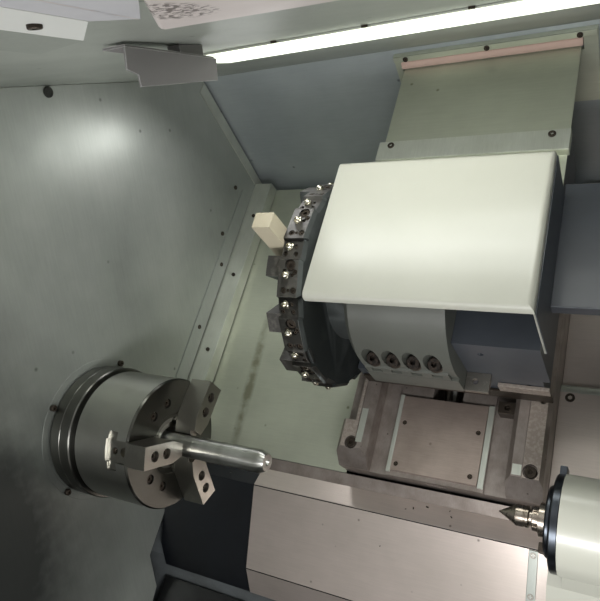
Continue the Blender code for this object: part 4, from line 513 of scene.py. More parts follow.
# plated nozzles: small and very bright glints
nozzleBrass = edgeWearAndHighlightSteel("plainNozzleBrass", {
    "metallic": 1.0, "patchMm": 5, "edgeMm": 0.5, "colour": "#c9c3b0", "wearAndHighlightColour": "#f0ede2", "rubFrom": 0.45,
    "rubDepth": 0.8, "roughness": (0.14, 0.26), "gritMm": 0.7, "bump": 0.06})
# painted cast iron: thick grey paint over a rough casting, dull and lumpy
castPaint = sprayedPaint("paintedCastIron", {
    "colour": "#6e7375", "dirtColour": "#3d3a35", "coat": 0.0, "dirtMm": 60, "dirtDepth": 0.5,
    "roughness": (0.45, 0.62), "peelMm": 2.5, "bump": 0.35})
# cream enamel: smooth and glossy enough to mirror the lamp softly
creamPaint = sprayedPaint("creamEnamel", {
    "colour": "#b2b2a7", "dirtColour": "#9f9f93", "coat": 0.3, "dirtMm": 160, "dirtDepth": 0.3,
    "roughness": (0.28, 0.38), "peelMm": 1.4, "bump": 0.04})
# grey-green enamel on the turret's housing, darkened as painted shade under the hood: dull, with darker dirt
greyPaint = sprayedPaint("greyEnamel", {
    "colour": "#565852", "dirtColour": "#454540", "coat": 0.1, "dirtMm": 70, "dirtDepth": 0.5,
    "roughness": (0.38, 0.5), "peelMm": 1.6, "bump": 0.06})
# slate enamel: dark blue-grey with little shine
slatePaint = sprayedPaint("slateEnamel", {
    "colour": "#3b3f45", "dirtColour": "#2a2d31", "coat": 0.1, "dirtMm": 120, "dirtDepth": 0.5,
    "roughness": (0.38, 0.5), "peelMm": 1.6, "bump": 0.06})
# navy enamel, taken almost to black by painted shade where the panel lies in shadow
navyPaint = sprayedPaint("navyEnamel", {
    "colour": "#12151b", "dirtColour": "#0a0b0d", "coat": 0.15, "dirtMm": 70, "dirtDepth": 0.6,
    "roughness": (0.4, 0.58), "peelMm": 1.6, "bump": 0.1})
# powder coat of the casing: pale, finely pitted and dull
shellPaint = sprayedPaint("shellPowderCoat", {
    "colour": "#dcddd9", "dirtColour": "#cbccc7", "coat": 0.0, "dirtMm": 240, "dirtDepth": 0.4,
    "roughness": (0.42, 0.5), "peelMm": 1.1, "bump": 0.2})
# beige enamel that flakes at its left end: small dark chips
headerPaint = sprayedPaint("beigeHeaderEnamel", {
    "colour": "#d2c8c5", "dirtColour": "#b5a9a4", "coat": 0.1, "dirtMm": 90, "dirtDepth": 0.5,
    "roughness": (0.4, 0.55), "peelMm": 1.6, "bump": 0.08, "flakeColour": "#5a4f4c",
    "flaked": {"centre": (0.424, -0.522, 1.556), "turn": (0, 0, 0), "size": (0.021, 0.031, 0.03)}})
# pale enamel of the lining: lavender-grey and even
liningPaint = sprayedPaint("paleLiningEnamel", {
    "colour": "#c3c2c6", "dirtColour": "#a7a6ab", "coat": 0.1, "dirtMm": 120, "dirtDepth": 0.5,
    "roughness": (0.4, 0.55), "peelMm": 1.6, "bump": 0.06})
# bent steel bracket: mid grey, its thin bright edges a painted highlight
bracketSteel = edgeWearAndHighlightSteel("bentBracketSteel", {
    "metallic": 0.3, "patchMm": 40, "edgeMm": 1.1, "colour": "#7e7b7b", "wearAndHighlightColour": "#dcdcda", "rubFrom": 0.7,
    "rubDepth": 0.1, "roughness": (0.4, 0.55), "gritMm": 1.5, "bump": 0.05})
# screen glass that is switched off: black with a sharp reflection
screenGlass = plainFinish("darkScreenGlass", {"Base Color": linearColour("#15181c"), "Roughness": 0.08,
                                              "Coat Weight": 0.5}, 60, 0.0)
# moulded ABS keys: light grey and matt
keyPlastic = plainFinish("greyKeyPlastic", {"Base Color": linearColour("#b9bcbe"), "Roughness": 0.5}, 1.0, 0.1)
# chip pan under oil and swarf: black with wet patches
panSteel = sprayedPaint("oilyPanSteel", {
    "colour": "#191a1b", "dirtColour": "#0e0e0f", "coat": 0.3, "dirtMm": 60, "dirtDepth": 0.8,
    "roughness": (0.3, 0.55), "peelMm": 3, "bump": 0.2})
# felt wiper lip: pink, quite without shine
feltLip = plainFinish("pinkFeltLip", {"Base Color": linearColour("#c3a79c"), "Roughness": 0.9,
                                      "Sheen Weight": 0.2}, 1.1, 0.3)
# moulded rubber: black and dull
rubberPlug = plainFinish("blackRubberPlug", {"Base Color": linearColour("#23241f"), "Roughness": 0.7}, 0.8, 0.2)
# belt rubber: black, with a fine rib
beltRubber = plainFinish("ribbedBeltRubber", {"Base Color": linearColour("#1d1d1d"), "Roughness": 0.75}, 0.8, 0.3)
# coated tool bar: beige and dry, as a rust-proof coat is
barCoat = plainFinish("beigeCoatedBar", {"Base Color": linearColour("#b9b09a"), "Roughness": 0.55}, 1.2, 0.25)
# moulded red plastic: strong red with a clean highlight
redCap = plainFinish("redMouldedCap", {"Base Color": linearColour("#b3201a"), "Roughness": 0.32}, 1.0, 0.05)
# milky acrylic over the lamp: greenish white and glowing
lampDiffuser = plainFinish("milkyAcrylicDiffuser", {
    "Base Color": linearColour("#f2f7e8"), "Roughness": 0.35, "Emission Color": linearColour("#f4fbe6"),
    "Emission Strength": 1.6}, 1.0, 0.02)
# laminated glass: clear with a faint green tint
doorGlass = plainFinish("laminatedDoorGlass", {
    "Base Color": linearColour("#dfe8e6"), "Roughness": 0.03, "Transmission Weight": 1.0, "IOR": 1.5}, 400, 0.0)

nodeFinishes = {
    "casting_paint": castPaint, "shell_paint": shellPaint, "slate_paint": slatePaint, "cream_paint": creamPaint,
    "grey_paint": greyPaint, "navy_paint": navyPaint, "chamber_stainless": wallSteel,
    "bright_stainless": brightSheet, "cover_stainless": coverSteel, "lower_stainless": lowerSteel,
    "bright_steel": chuckSteel, "dark_steel": discSteel, "blued_steel": quillSteel, "belt_rubber": beltRubber,
    "lamp_diffuser": lampDiffuser, "tool_body": barCoat, "window_glass": doorGlass, "red_plastic": redCap}
nodeSlots = {part["node"]: part["material_slot"] for part in frame["record"]["subparts"]}
for nodeName, node in frame["nodes"].items():
    node.data.materials.clear()
    node.data.materials.append(nodeFinishes[nodeSlots[nodeName]])
frame["nodes"]["chip_pan"].data.materials[0] = panSteel
print("materials made")

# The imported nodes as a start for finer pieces


def takeNode(nodeName, where):
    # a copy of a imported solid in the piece's own millimetre frame, merged and freed of its facets' diagonals
    node = frame["nodes"][nodeName]
    clearSelection()
    piece = node.copy()
    piece.data = node.data.copy()
    piece.parent = None
    bpy.context.scene.collection.objects.link(piece)
    piece.matrix_world = where.inverted() @ node.matrix_world
    pick(piece)
    bpy.ops.object.transform_apply(location=True, rotation=True, scale=True)
    bpy.ops.object.mode_set(mode="EDIT")
    bpy.ops.mesh.select_all(action="SELECT")
    bpy.ops.mesh.remove_doubles(threshold=0.004)
    bpy.ops.mesh.dissolve_limited(angle_limit=math.radians(0.6))
    bpy.ops.mesh.normals_make_consistent(inside=False)
    bpy.ops.object.mode_set(mode="OBJECT")
    return piece


def socketScrew(name, head, high, socket):
    # a cap screw's head that stands along x with its top at zero, with the hexagon sunk in it
    rim = head * 0.12
    screw = turnPiece(name, [(head, -high), (head, -rim), (head - rim, 0)], sides=40)
    hexagon = addRod("hexagon", socket, -high * 0.6, 1, sides=6)
    return cutAway(screw, hexagon)


def crossScrew(name, head, high):
    # a countersunk screw's head with a cross recess, its top at zero
    screw = turnPiece(name, [(head, -high), (head, -0.4), (head - 0.4, 0)], sides=32)
    for turned in (0, 1):
        long, short = (head * 0.62, head * 0.14)[::1 - 2 * turned]
        screw = cutAway(screw, addBlock("recess", (-high * 0.5, -long, -short), (1, long, short)))
    return screw


def onto(x, s, n, axis="n"):
    # lays a part drawn along x at a slant place, with its top facing along the axis
    facing = {"x": Matrix.Identity(4), "n": Matrix.Rotation(-math.pi / 2, 4, "Y"),
              "s": Matrix.Rotation(math.pi / 2, 4, "Z"), "-s": Matrix.Rotation(-math.pi / 2, 4, "Z")}[axis]
    return Matrix.Translation((x, s, n)) @ facing


def spread(pattern, name, matrices):
    # one modelled pattern copied to every place and joined, the pattern itself taken away
    copies = [copyPiece(pattern, name, matrix) for matrix in matrices]
    bpy.data.objects.remove(pattern)
    return joinPieces(name, copies)


def around(angle, radius=0, x=0):
    # a radial place round the spindle line: y outwards, z along the turn
    return Matrix.Rotation(math.radians(angle), 4, "X") @ Matrix.Translation((x, radius, 0))


outward = Matrix.Rotation(math.pi / 2, 4, "Z")  # turns a part drawn along x to face outwards


# The chuck with its jaws and the bar

chuckSizes = {
    "radius": 105, "long": 111, "edge": 2.4, "recess": 49, "ring": 41.5, "bore": 26, "screwCircle": 69,
    "screwSpread": 14.5, "well": 7.8, "wellDeep": 9, "slotHalf": 17.4, "slotDeep": 43, "wingHalf": 29.5,
    "wingLow": -39.5, "wingHigh": -22, "slotInner": 30, "plateRadius": 110, "plateBack": 160, "grooveRadius": 96,
    "jawAngles": (115, 235, 355)}


def makeChuckBody():
    size = chuckSizes
    profile = [(103, -size["long"]), (size["radius"], -109), (size["radius"], -size["edge"]),
               (size["radius"] - size["edge"], 0), (size["recess"] + 0.8, 0), (size["recess"], -0.8),
               (size["recess"], -3), (size["ring"], -3), (size["ring"] - 1, -5), (34, -5), (33, -7),
               (size["bore"], -7), (size["bore"], -64)]
    body = turnPiece("chuckBody", profile, sides=160)
    for angle in size["jawAngles"]:
        slot = addBlock("slot", (-size["slotDeep"], size["slotInner"], -size["slotHalf"]),
                        (5, 120, size["slotHalf"]))
        wing = addBlock("wing", (size["wingLow"], size["slotInner"] + 14, -size["wingHalf"]),
                        (size["wingHigh"], 120, size["wingHalf"]))
        for cutter in (slot, wing):
            cutter.matrix_world = around(angle)
        cutAway(body, slot, wing)
        for side in (-1, 1):
            well = addRod("well", size["well"], -size["wellDeep"], 2)
            well.matrix_world = around(angle + 60 + side * size["screwSpread"], size["screwCircle"])
            cutAway(body, well)
    breakEdges(body, 0.5, 2, 50)
    settle(body, slantFrame, "spindle", chuckSteel, "bright_steel", "chuck_body")
    places = [around(angle + 60 + side * size["screwSpread"], size["screwCircle"], -2.2)
              for angle in size["jawAngles"] for side in (-1, 1)]
    screws = spread(socketScrew("faceScrew", 6.7, 7, 3.1), "chuckFaceScrews", places)
    settle(screws, slantFrame, "spindle", screwSteel, "dark_steel")


def makeBackPlate():
    size = chuckSizes
    radius = size["plateRadius"]
    profile = [(30, -158), (30, -size["plateBack"]), (radius - 1, -size["plateBack"]), (radius, -159),
               (radius, -140.2), (radius - 0.7, -139.7), (radius - 0.7, -138.9), (radius, -138.4), (radius, -119.6),
               (radius - 1.6, -118), (size["grooveRadius"], -118), (size["grooveRadius"], -111.4), (30, -111.4)]
    plate = turnPiece("chuckBackPlate", profile, sides=160)
    settle(plate, slantFrame, "spindle", plateRimSteel, "bright_steel", "chuck_back_plate")


def makeBar():
    profile = [(17.5, -60), (17.5, 50), (17.2, 50.3), (17.2, 51), (17.5, 51.3), (17.5, 171), (13.8, 180.5),
               (12.8, 182), (5, 182), (0.3, 174.5)]
    bar = turnPiece("turnedBar", profile, sides=96)
    settle(bar, slantFrame, "spindle", barSteel, "bright_steel", "bar_workpiece")


def makeJaw(number, angle):
    size = chuckSizes
    where = slantFrame @ around(angle)
    half = size["slotHalf"] - 0.4
    master = addBlock("masterJaw", (-42.5, 34, -half), (-0.3, 99.8, half))
    wing = addBlock("wing", (size["wingLow"] + 0.5, 46, 0.5 - size["wingHalf"]),
                    (size["wingHigh"] - 0.5, 99.5, size["wingHalf"] - 0.5))
    weldOn(master, wing)
    for x, radius in ((-27.5, 5.4), (-9.5, 7.0)):
        cutAway(master, addRod("hole", radius, 88, 104, "y", (x, 0, 0)))
    breakEdges(master, 0.5)
    settle(master, where, f"jaw_{number}", jawSteel, "bright_steel", f"master_jaw_{number}")
    pin = socketScrew("pin", 5, 5, 2.4)
    pin.matrix_world = Matrix.Translation((-27.5, 96, 0)) @ outward
    settle(pin, where, f"jaw_{number}", screwSteel, "dark_steel")
    pin.name = f"masterJawScrew{number}"

    outline = [(17.9, -7.5), (46, -17.4), (108, -17.4), (108, 17.4), (46, 17.4), (17.9, 7.5)]
    top = addSheet("topJaw", outline, 0.3, 40)
    for reach in (60, 86):
        cutAway(top, addRod("well", 8.1, 26, 45, "x", (0, reach, 0)))
    cutAway(top, addBlock("noseStep", (32, 10, -20), (45, 24, 20)))
    breakEdges(top, 0.8, 2, 30)
    settle(top, where, f"jaw_{number}", jawSteel, "bright_steel", f"top_jaw_{number}")
    places = [Matrix.Translation((34.5, reach, 0)) for reach in (60, 86)]
    screws = spread(socketScrew("jawScrew", 7.2, 9, 3.4), f"topJawScrews{number}", places)
    settle(screws, where, f"jaw_{number}", screwSteel, "dark_steel")


def makeNoseRing():
    profile = [(90, -164.7), (122, -164.7), (122, -164.2), (121.6, -163.9), (114, -163.9), (113.7, -164.5),
               (111.2, -164.5), (111, -163.9), (90, -163.9)]
    ring = turnPiece("noseCoverRing", profile, sides=128)
    settle(ring, slantFrame, "machine", wallSteel, "chamber_stainless", "nose_cover_ring")
    places = [around(angle, 117.5, -156.5) for angle in (8, 91, 170, 250, 330)]
    bolts = spread(socketScrew("ringBolt", 5.2, 6, 2.5), "noseRingBolts", places)
    settle(bolts, slantFrame, "machine", screwSteel, "dark_steel")


makeChuckBody()
makeBackPlate()
makeBar()
for jawNumber, jawAngle in enumerate(chuckSizes["jawAngles"], 1):
    makeJaw(jawNumber, jawAngle)
makeNoseRing()
print("chuck made")


# The turret: disc, clamps, nozzles, tool, housing and hood

turretCentre = Matrix.Translation((0, 300, 0))
stationCount = 12
stationFirst = 84
stationPitch = 360 / stationCount


def stationAngles(offset=0):
    return [stationFirst + stationPitch * index + offset for index in range(stationCount)]


wideFlat = 162.7    # how far the wide faces stand from the turret's axis, and the narrow ones
narrowFlat = 159.5
faceFittings = (
    # face, station offset (degrees), place along x, place round the face, well radius, head radius, sunk
    ("wide", 0, 222, -18, 8.6, 7.6, 1.6), ("wide", 0, 213.5, -8.5, 4.2, 3.6, 1.2),
    ("wide", 0, 230, -8.5, 4.2, 3.6, 1.2),
    ("wide", 0, 225.5, -4, 3.4, 2.6, 2.0), ("wide", 0, 213, 18, 4.9, 4.2, 1.0), ("wide", 0, 221, 18, 2.8, 2.3, 1.0),
    ("wide", 0, 229, 18, 4.9, 4.2, 1.0), ("narrow", 15, 224, -4, 3.3, 2.6, 1.6),
    ("narrow", 15, 209, 7, 3.9, 3.2, 2.0),
    ("narrow", 15, 226, 7, 3.9, 3.2, 2.0))


def onFace(angle, flat, x, along):
    # a place on one of the disc's flat faces, for a part drawn along x
    return Matrix.Rotation(math.radians(angle), 4, "X") @ Matrix.Translation((x, flat, along)) @ outward


def facePlaces(fitting, depth=0.0):
    face, offset, x, along, *sizes = fitting
    flat = wideFlat if face == "wide" else narrowFlat
    return [onFace(angle, flat - depth, x, along) for angle in stationAngles(offset)]


def makeTurretDisc():
    disc = takeNode("turret_disc", slantFrame @ turretCentre)
    disc.name = "turretDisc"
    editEdges(disc, lambda a, b: abs(a.x - 240) < 0.05 and abs(b.x - 240) < 0.05
              and math.hypot(a.y, a.z) > 150 and math.hypot(b.y, b.z) > 150)
    bpy.ops.mesh.bevel(offset=5, segments=1, affect="EDGES")
    leaveEdit()
    for fitting in faceFittings:
        well = addRod("well", fitting[4], -9, 4, sides=28)
        cutAway(disc, spread(well, "wells", facePlaces(fitting)))
    for angle in stationAngles(-9.6 + 0.5):
        line = addBlock("joint", (200, 162.2, -0.5), (236, 170, 0.5))
        line.matrix_world = around(angle)
        cutAway(disc, line)
    breakEdges(disc, 0.6, 2, 12)
    settle(disc, slantFrame @ turretCentre, "turret", blackSteel, "dark_steel", "turret_disc")
    # the disc's flank behind the stations is oiled, not worn
    disc.data.materials.append(discSteel)
    for face in disc.data.polygons:
        place = (slantFrame @ turretCentre).inverted() @ face.center
        if place.x > 235.5 or math.hypot(place.y, place.z) < 140:
            face.material_index = 1


def makeStationScrews():
    # on every wide face one large bolt, three set screws and a row of three, on every narrow face three more
    screws = []
    for index, fitting in enumerate(faceFittings):
        head, sunk = fitting[5], fitting[6]
        screws.append(spread(socketScrew("stationScrew", head, 5, head * 0.5), f"stationScrews{index}",
                             facePlaces(fitting, sunk)))
    settle(joinPieces("turretScrews", screws), slantFrame @ turretCentre, "turret", screwSteel, "dark_steel")


def makeNozzles():
    # a ball with its drilled tip in a short collar, one on each kind of face
    ball = turnPiece("nozzle", [(6.2, -1), (6.2, 1.1), (5.4, 1.7), (4.9, 1.9), (5.2, 3.2), (4.6, 4.9), (3.4, 6.2),
                                (2.2, 6.8), (1.8, 6.9), (1.5, 4)], sides=28)
    places = []
    for angle in stationAngles():
        places.append(onFace(angle, wideFlat, 216.5, -4) @ Matrix.Rotation(0.35, 4, "Z"))
        places.append(onFace(angle + 15, narrowFlat, 214.5, -4) @ Matrix.Rotation(0.25, 4, "Z"))
    nozzles = spread(ball, "coolantNozzles", places)
    settle(nozzles, slantFrame @ turretCentre, "turret", nozzleBrass, "bright_steel")


def makeHolders():
    # the tool clamps' outer faces: a wedge held by two screws beside the slot of every station
    places = [around(angle - 6) for angle in stationAngles()[1:]]
    wedge = addBlock("wedge", (177.5, 124, -11), (181.2, 156, 11))
    breakEdges(wedge, 1.2)
    wedges = spread(wedge, "clampWedges", places)
    settle(wedges, slantFrame @ turretCentre, "turret", blackSteel, "dark_steel")
    seats = [place @ Matrix.Translation((177, radius, 0)) @ Matrix.Rotation(math.pi, 4, "Y")
             for place in places for radius in (131, 149)]
    screws = spread(socketScrew("wedgeScrew", 4.2, 4, 2), "wedgeScrews", seats)
    settle(screws, slantFrame @ turretCentre, "turret", screwSteel, "dark_steel")


def makeTool():
    bar = addBlock("squareTool", (172.7, -18, 112), (202.6, 7, 205))
    breakEdges(bar, 0.9)
    settle(bar, slantFrame @ turretCentre, "turret", barCoat, "tool_body", "turning_tool")


def makeHousing():
    outline = [(300 + 130 * math.cos(math.radians(a)), 130 * math.sin(math.radians(a)))
               for a in [-27.3 + (188.85 + 27.3) * step / 72 for step in range(73)]]
    outline += [(166.5, -20), (166.5, -59.7)]
    body = addSheet("turretHousing", outline, 287.2, 436.6)
    editEdges(body, lambda a, b: abs(a.x - 287.2) < 0.01 and abs(b.x - 287.2) < 0.01)
    bpy.ops.mesh.bevel(offset=9, segments=1, affect="EDGES")
    leaveEdit()
    shelf = addSheet("shelf", [(166.8, -20.5), (166.8, 0), (179.5, 4.9), (186, -20.5)], 299, 426)
    weldOn(body, shelf)
    wells = [Matrix.Translation((316 + 30.9 * index, 174.5, 18)) @ Matrix.Rotation(math.radians(21), 4, "X")
             for index in range(4)]
    for index, where in enumerate(wells):
        # each bolt stands in a round well that leans to the front, with a slot in the shelf below it
        well = addRod("well", 13, -14.3, 60, "z")
        well.matrix_world = where
        left = 316 + 30.9 * index - 8
        cutAway(body, well, addBlock("gap", (left, 150, -14), (left + 16, 171.4, -4)))
    breakEdges(body, 0.7, 2, 30)
    settle(body, slantFrame, "cross_slide_body", greyPaint, "grey_paint", "turret_housing")
    bolts = [where @ Matrix.Rotation(-math.pi / 2, 4, "Y") for where in wells]
    screws = spread(socketScrew("housingBolt", 9.5, 12.4, 4.6), "housingBolts", bolts)
    settle(screws, slantFrame, "cross_slide_body", rustyScrew, "dark_steel")
    washers = spread(turnPiece("washer", [(12, -14.4), (12, -12.6), (11.4, -12.2)], sides=40), "housingWashers",
                     bolts)
    settle(washers, slantFrame, "cross_slide_body", screwSteel, "dark_steel")


def makeHood():
    hood = takeNode("turret_hood", slantFrame)
    hood.name = "turretHood"
    breakEdges(hood, 0.7, 2, 40)
    settle(hood, slantFrame, "cross_slide_body", creamPaint, "cream_paint", "turret_hood")
    plate = addSheet("hoodSidePlate", [(204.2, 20), (431.8, 20), (431.8, 138), (204.2, 138)], 554.1, 555.6)
    breakEdges(plate, 0.4)
    settle(plate, slantFrame, "cross_slide_body", slatePaint, "slate_paint")


def makeSlide():
    slide = takeNode("cross_slide", slantFrame)
    slide.name = "crossSlide"
    breakEdges(slide, 1.0, 2, 60)
    for x, s, n in ((470, 195, 20), (452, 195, -86), (520, 195, -86)):
        cutAway(slide, addRod("hole", 4.4, s - 4, s + 9, "y", (x, 0, n)))
    settle(slide, slantFrame, "cross_slide_body", slatePaint, "slate_paint", "cross_slide")
    tab = addBlock("footTab", (437, 166, -59.7), (472, 195, -52))
    cutAway(tab, addRod("hole", 4.2, -70, -40, "z", (451, 181, 0)))
    breakEdges(tab, 0.8)
    settle(tab, slantFrame, "cross_slide_body", zincScrew, "bright_steel")
    rail = addBlock("wiperRail", (476, 189, -106), (548, 194.7, -84))
    breakEdges(rail, 0.8)
    settle(rail, slantFrame, "cross_slide_body", scrapedIron, "bright_steel")
    long = addBlock("slideWiper", (250, 190, -139), (548, 194.7, -112))
    breakEdges(long, 1.0)
    settle(long, slantFrame, "cross_slide_body", screwSteel, "dark_steel")


def makeGuard():
    guard = takeNode("right_guard", slantFrame)
    guard.name = "rightGuard"
    breakEdges(guard, 2.2, 3)
    settle(guard, slantFrame, "cross_slide_body", slatePaint, "slate_paint", "right_guard")


def makeTravellingSheet():
    # the sheet behind the hood, the strip that clamps it and the frame of the wiper it runs through
    cover = takeNode("x_way_cover", slantFrame)
    cover.name = "travellingSheet"
    breakEdges(cover, 0.6)
    settle(cover, slantFrame, "cross_slide_body", coverSteel, "cover_stainless", "x_way_cover")
    strip = addBlock("retainerStrip", (262.5, 497.5, 67), (555.8, 533.5, 69.2))
    breakEdges(strip, 0.6)
    settle(strip, slantFrame, "cross_slide_body", brightSheet, "bright_stainless")
    places = [onto(x, 525, 71.5) for x in (284, 531)]
    screws = spread(socketScrew("stripScrew", 5.5, 4, 2.6), "retainerScrews", places)
    settle(screws, slantFrame, "cross_slide_body", screwSteel, "dark_steel")


makeTurretDisc()
makeStationScrews()
makeNozzles()
makeHolders()
makeTool()
makeHousing()
makeHood()
makeSlide()
makeGuard()
makeTravellingSheet()
print("turret made")


# The carriage: saddle, its plate, and the sheets that travel with it


wayPatches = {
    # freshly ground ends of both ways: left, right, low and high along the slope
    "wayPatchLeft": (250.2, 261.4, 84, 142), "wayPatchRight": (502, 515.4, 76, 92)}


def makeSaddle():
    saddle = takeNode("saddle", slantFrame)
    saddle.name = "saddle"
    for x, s, n in ((243, 82, -141), (528, 84, -141)):
        cutAway(saddle, addRod("well", 11, n - 7, n + 20, "z", (x, s, 0)))
    for x, s in ((534, 192), (478, 182)):
        cutAway(saddle, addRod("hole", 4.5, -152, -130, "z", (x, s, 0)))
    for x in (249.3, 516.3):
        cutAway(saddle, addBlock("seam", (x - 0.5, 40, -142), (x + 0.5, 570, -130)))
    breakEdges(saddle, 0.9, 2, 25)
    settle(saddle, slantFrame, "carriage", milledIron, "casting_paint", "saddle")
    saddle.data.materials.append(scrapedIron)
    for face in saddle.data.polygons:
        # the outer halves of both ways are scraped by hand
        place = slantFrame.inverted() @ face.center
        if place.z > -141 and (place.x < 249 or place.x > 516.8):
            face.material_index = 1
    for name, (left, right, low, high) in wayPatches.items():
        patch = addBlock(name, (left, low, -142), (right, high, -139.86))
        breakEdges(patch, 0.4)
        settle(patch, slantFrame, "carriage", brightSheet, "bright_stainless")
    places = [onto(243, 82, -141.5), onto(528, 84, -141.5)]
    bolts = spread(socketScrew("saddleBolt", 8.8, 8, 4.3), "saddleBolts", places)
    settle(bolts, slantFrame, "carriage", screwSteel, "dark_steel")
    block = addBlock("dripBlock", (466, 170, -183), (494, 189, -157))
    cutAway(block, addRod("hole", 4, -166, -150, "z", (480, 180, 0), 32))
    breakEdges(block, 1.2)
    settle(block, slantFrame, "carriage", screwSteel, "dark_steel")


def makeSaddlePlate():
    plate = addBlock("saddlePlate", (308, 55, -175.7), (449, 182, -170))
    places = [(317, 136), (439, 137), (316, 66), (437, 67)]
    for x, s in places:
        sink = [(2.4, -174), (2.4, -172), (4.6, -169.8), (4.6, -160)]
        cutAway(plate, turnPiece("sink", sink, "z", (x, s, 0), 32))
    breakEdges(plate, 0.7, 2, 60)
    settle(plate, slantFrame, "carriage", plateSteel, "chamber_stainless", "saddle_plate")
    screws = spread(crossScrew("plateScrew", 4.1, 1.8), "plateScrews", [onto(x, s, -170.7) for x, s in places])
    settle(screws, slantFrame, "carriage", screwSteel, "bright_steel")
    for name, left, right, low, high in (("plateStripLeft", 300.5, 307.6, -175.7, -171.5),
                                         ("plateStripRight", 449.4, 458.5, -175.7, -171.5)):
        strip = addBlock(name, (left, 52, low), (right, 184, high))
        breakEdges(strip, 0.8)
        settle(strip, slantFrame, "carriage", brightSheet, "bright_stainless")


def makeCarriageSheets():
    for nodeName, name, material, slotName in (
            ("left_way_cover", "leftWayCover", leftCoverSteel, "cover_stainless"),
            ("right_way_cover", "rightWayCover", lowerSteel, "lower_stainless"),
            ("upper_way_cover", "upperWayCover", facetSteel, "slate_paint"),
            ("wiper_frame", "wiperFrame", coverSteel, "chamber_stainless")):
        cover = takeNode(nodeName, slantFrame)
        cover.name = name
        breakEdges(cover, 0.5, 2, 30)
        settle(cover, slantFrame, "carriage", material, slotName, nodeName)
        if name == "rightWayCover":
            # the rolled fold at its top gets the pale strip sheet as a painted highlight
            cover.data.materials.append(brightSheet)
            for face in cover.data.polygons:
                if 234 < (slantFrame.inverted() @ face.center).y < 252:
                    face.material_index = 1
    # bolts on the right cover, and the felt lip with its screws on the wiper's frame
    bolts = spread(socketScrew("coverBolt", 7.4, 6, 3.6), "rightCoverBolts", [onto(x, s, -209) for x, s in (
        (562, 226), (562, 402))])
    settle(bolts, slantFrame, "carriage", screwSteel, "dark_steel")
    lip = addSheet("wiperLip", [(305, 2), (305, 12.5), (311, 14), (316.5, 12), (318.8, 8.4), (318.8, 2)],
                   262.5, 555.5)
    breakEdges(lip, 0.8, 2, 20)
    settle(lip, facetFrame, "carriage", feltLip, "belt_rubber")
    cap = addSheet("wiperCap", [(319, 8.2), (319, 12), (321, 13), (329.6, 13), (329.6, 8.2)], 251, 576)
    breakEdges(cap, 0.6, 2, 20)
    settle(cap, facetFrame, "carriage", coverSteel, "chamber_stainless")
    places = [Matrix.Translation((x, 324.6, 15)) @ Matrix.Rotation(-math.pi / 2, 4, "Y") for x in (273, 412, 552)]
    screws = spread(socketScrew("wiperScrew", 4.6, 3, 2.2), "wiperScrews", places)
    settle(screws, facetFrame, "carriage", screwSteel, "dark_steel")


facetFrame = slantFrame @ Matrix.Translation((0, 664, -245)) @ Matrix.Rotation(math.atan2(332.2, 57.4), 4, "X")
makeSaddle()
makeSaddlePlate()
makeCarriageSheets()
print("carriage made")


# Fixed walls, strips and covers of the chamber


def makeWalls():
    for nodeName, name, material, slotName in (
            ("headstock_wall", "headstockWall", wallSteel, "chamber_stainless"),
            ("right_wall", "rightWall", wallSteel, "chamber_stainless"),
            ("ceiling_panel", "ceilingPanel", wallSteel, "chamber_stainless"),
            ("bed_edge_strip", "bedEdgeStrip", brightSheet, "bright_stainless"),
            ("front_bed_cover", "frontBedCover", navyPaint, "navy_paint")):
        wall = takeNode(nodeName, slantFrame)
        wall.name = name
        breakEdges(wall, 0.6, 2, 30)
        settle(wall, slantFrame, "machine", material, slotName, nodeName)


def makeLowerCover():
    # three lapped plates with a dark joint between them, and the bar that holds their right end
    cover = takeNode("tailstock_way_cover", slantFrame)
    cover.name = "tailstockWayCover"
    for s, n in ((-13.2, -207), (-153.6, -262.4)):
        cutAway(cover, addBlock("joint", (30, s - 0.8, n - 6), (600, s + 0.8, n + 6)))
    breakEdges(cover, 0.4, 2, 30)
    settle(cover, slantFrame, "tailstock", lowerSteel, "lower_stainless", "tailstock_way_cover")
    face = Matrix.Translation((0, -12, -207)) @ Matrix.Rotation(math.atan2(-55, -141), 4, "X")
    bar = addBlock("lowerRetainerBar", (530, 2, -4.6), (543, 78, -0.2))
    breakEdges(bar, 0.8)
    settle(bar, slantFrame @ face, "tailstock", wallSteel, "chamber_stainless")
    places = [Matrix.Translation((536.5, run, -5.2)) @ Matrix.Rotation(math.pi / 2, 4, "Y") for run in (9, 68)]
    screws = spread(crossScrew("retainerBarScrew", 4.6, 1.4), "retainerBarScrews", places)
    settle(screws, slantFrame @ face, "tailstock", zincScrew, "bright_steel")
    apron = addSheet("coverApron", [(21.6, -221.5), (40.6, -212.4), (41.2, -211), (21.9, -219.9)], 20, 574.7)
    breakEdges(apron, 0.3)
    settle(apron, slantFrame, "tailstock", milledIron, "lower_stainless")


def makeChips():
    # a few chips of metal that lie where the coolant left them
    for name, body, places in (
            ("chipsOnNavyCover", "machine", ((-19, 0.3, -217), (-12.6, -64, -240), (-28.5, -52, -236),
                                             (2, -90, -250))),
            ("chipsOnLowerCover", "tailstock", ((334, 4, -210.5), (346, 8, -212), (367, 15, -216), (404, 16, -216.5),
                                                (409, 7, -211.5), (300, -60, -224.5), (470, -100, -240)))):
        chip = addBlock("chip", (-1.6, -0.8, -0.3), (1.6, 0.8, 0.7))
        editEdges(chip, lambda a, b: a.z > 0.5 and b.z > 0.5)
        bpy.ops.mesh.bevel(offset=0.5, segments=1, affect="EDGES")
        leaveEdit()
        places = [Matrix.Translation(place) @ Matrix.Rotation(0.4 + 1.3 * index, 4, "Z") @ Matrix.Scale(
            0.8 + 0.3 * (index % 3), 4) for index, place in enumerate(places)]
        steel = zincScrew if body == "machine" else screwSteel
        settle(spread(chip, name, places), slantFrame, body, steel, "dark_steel")


roofSlope = -0.075    # the roof lining on the left falls towards the rear


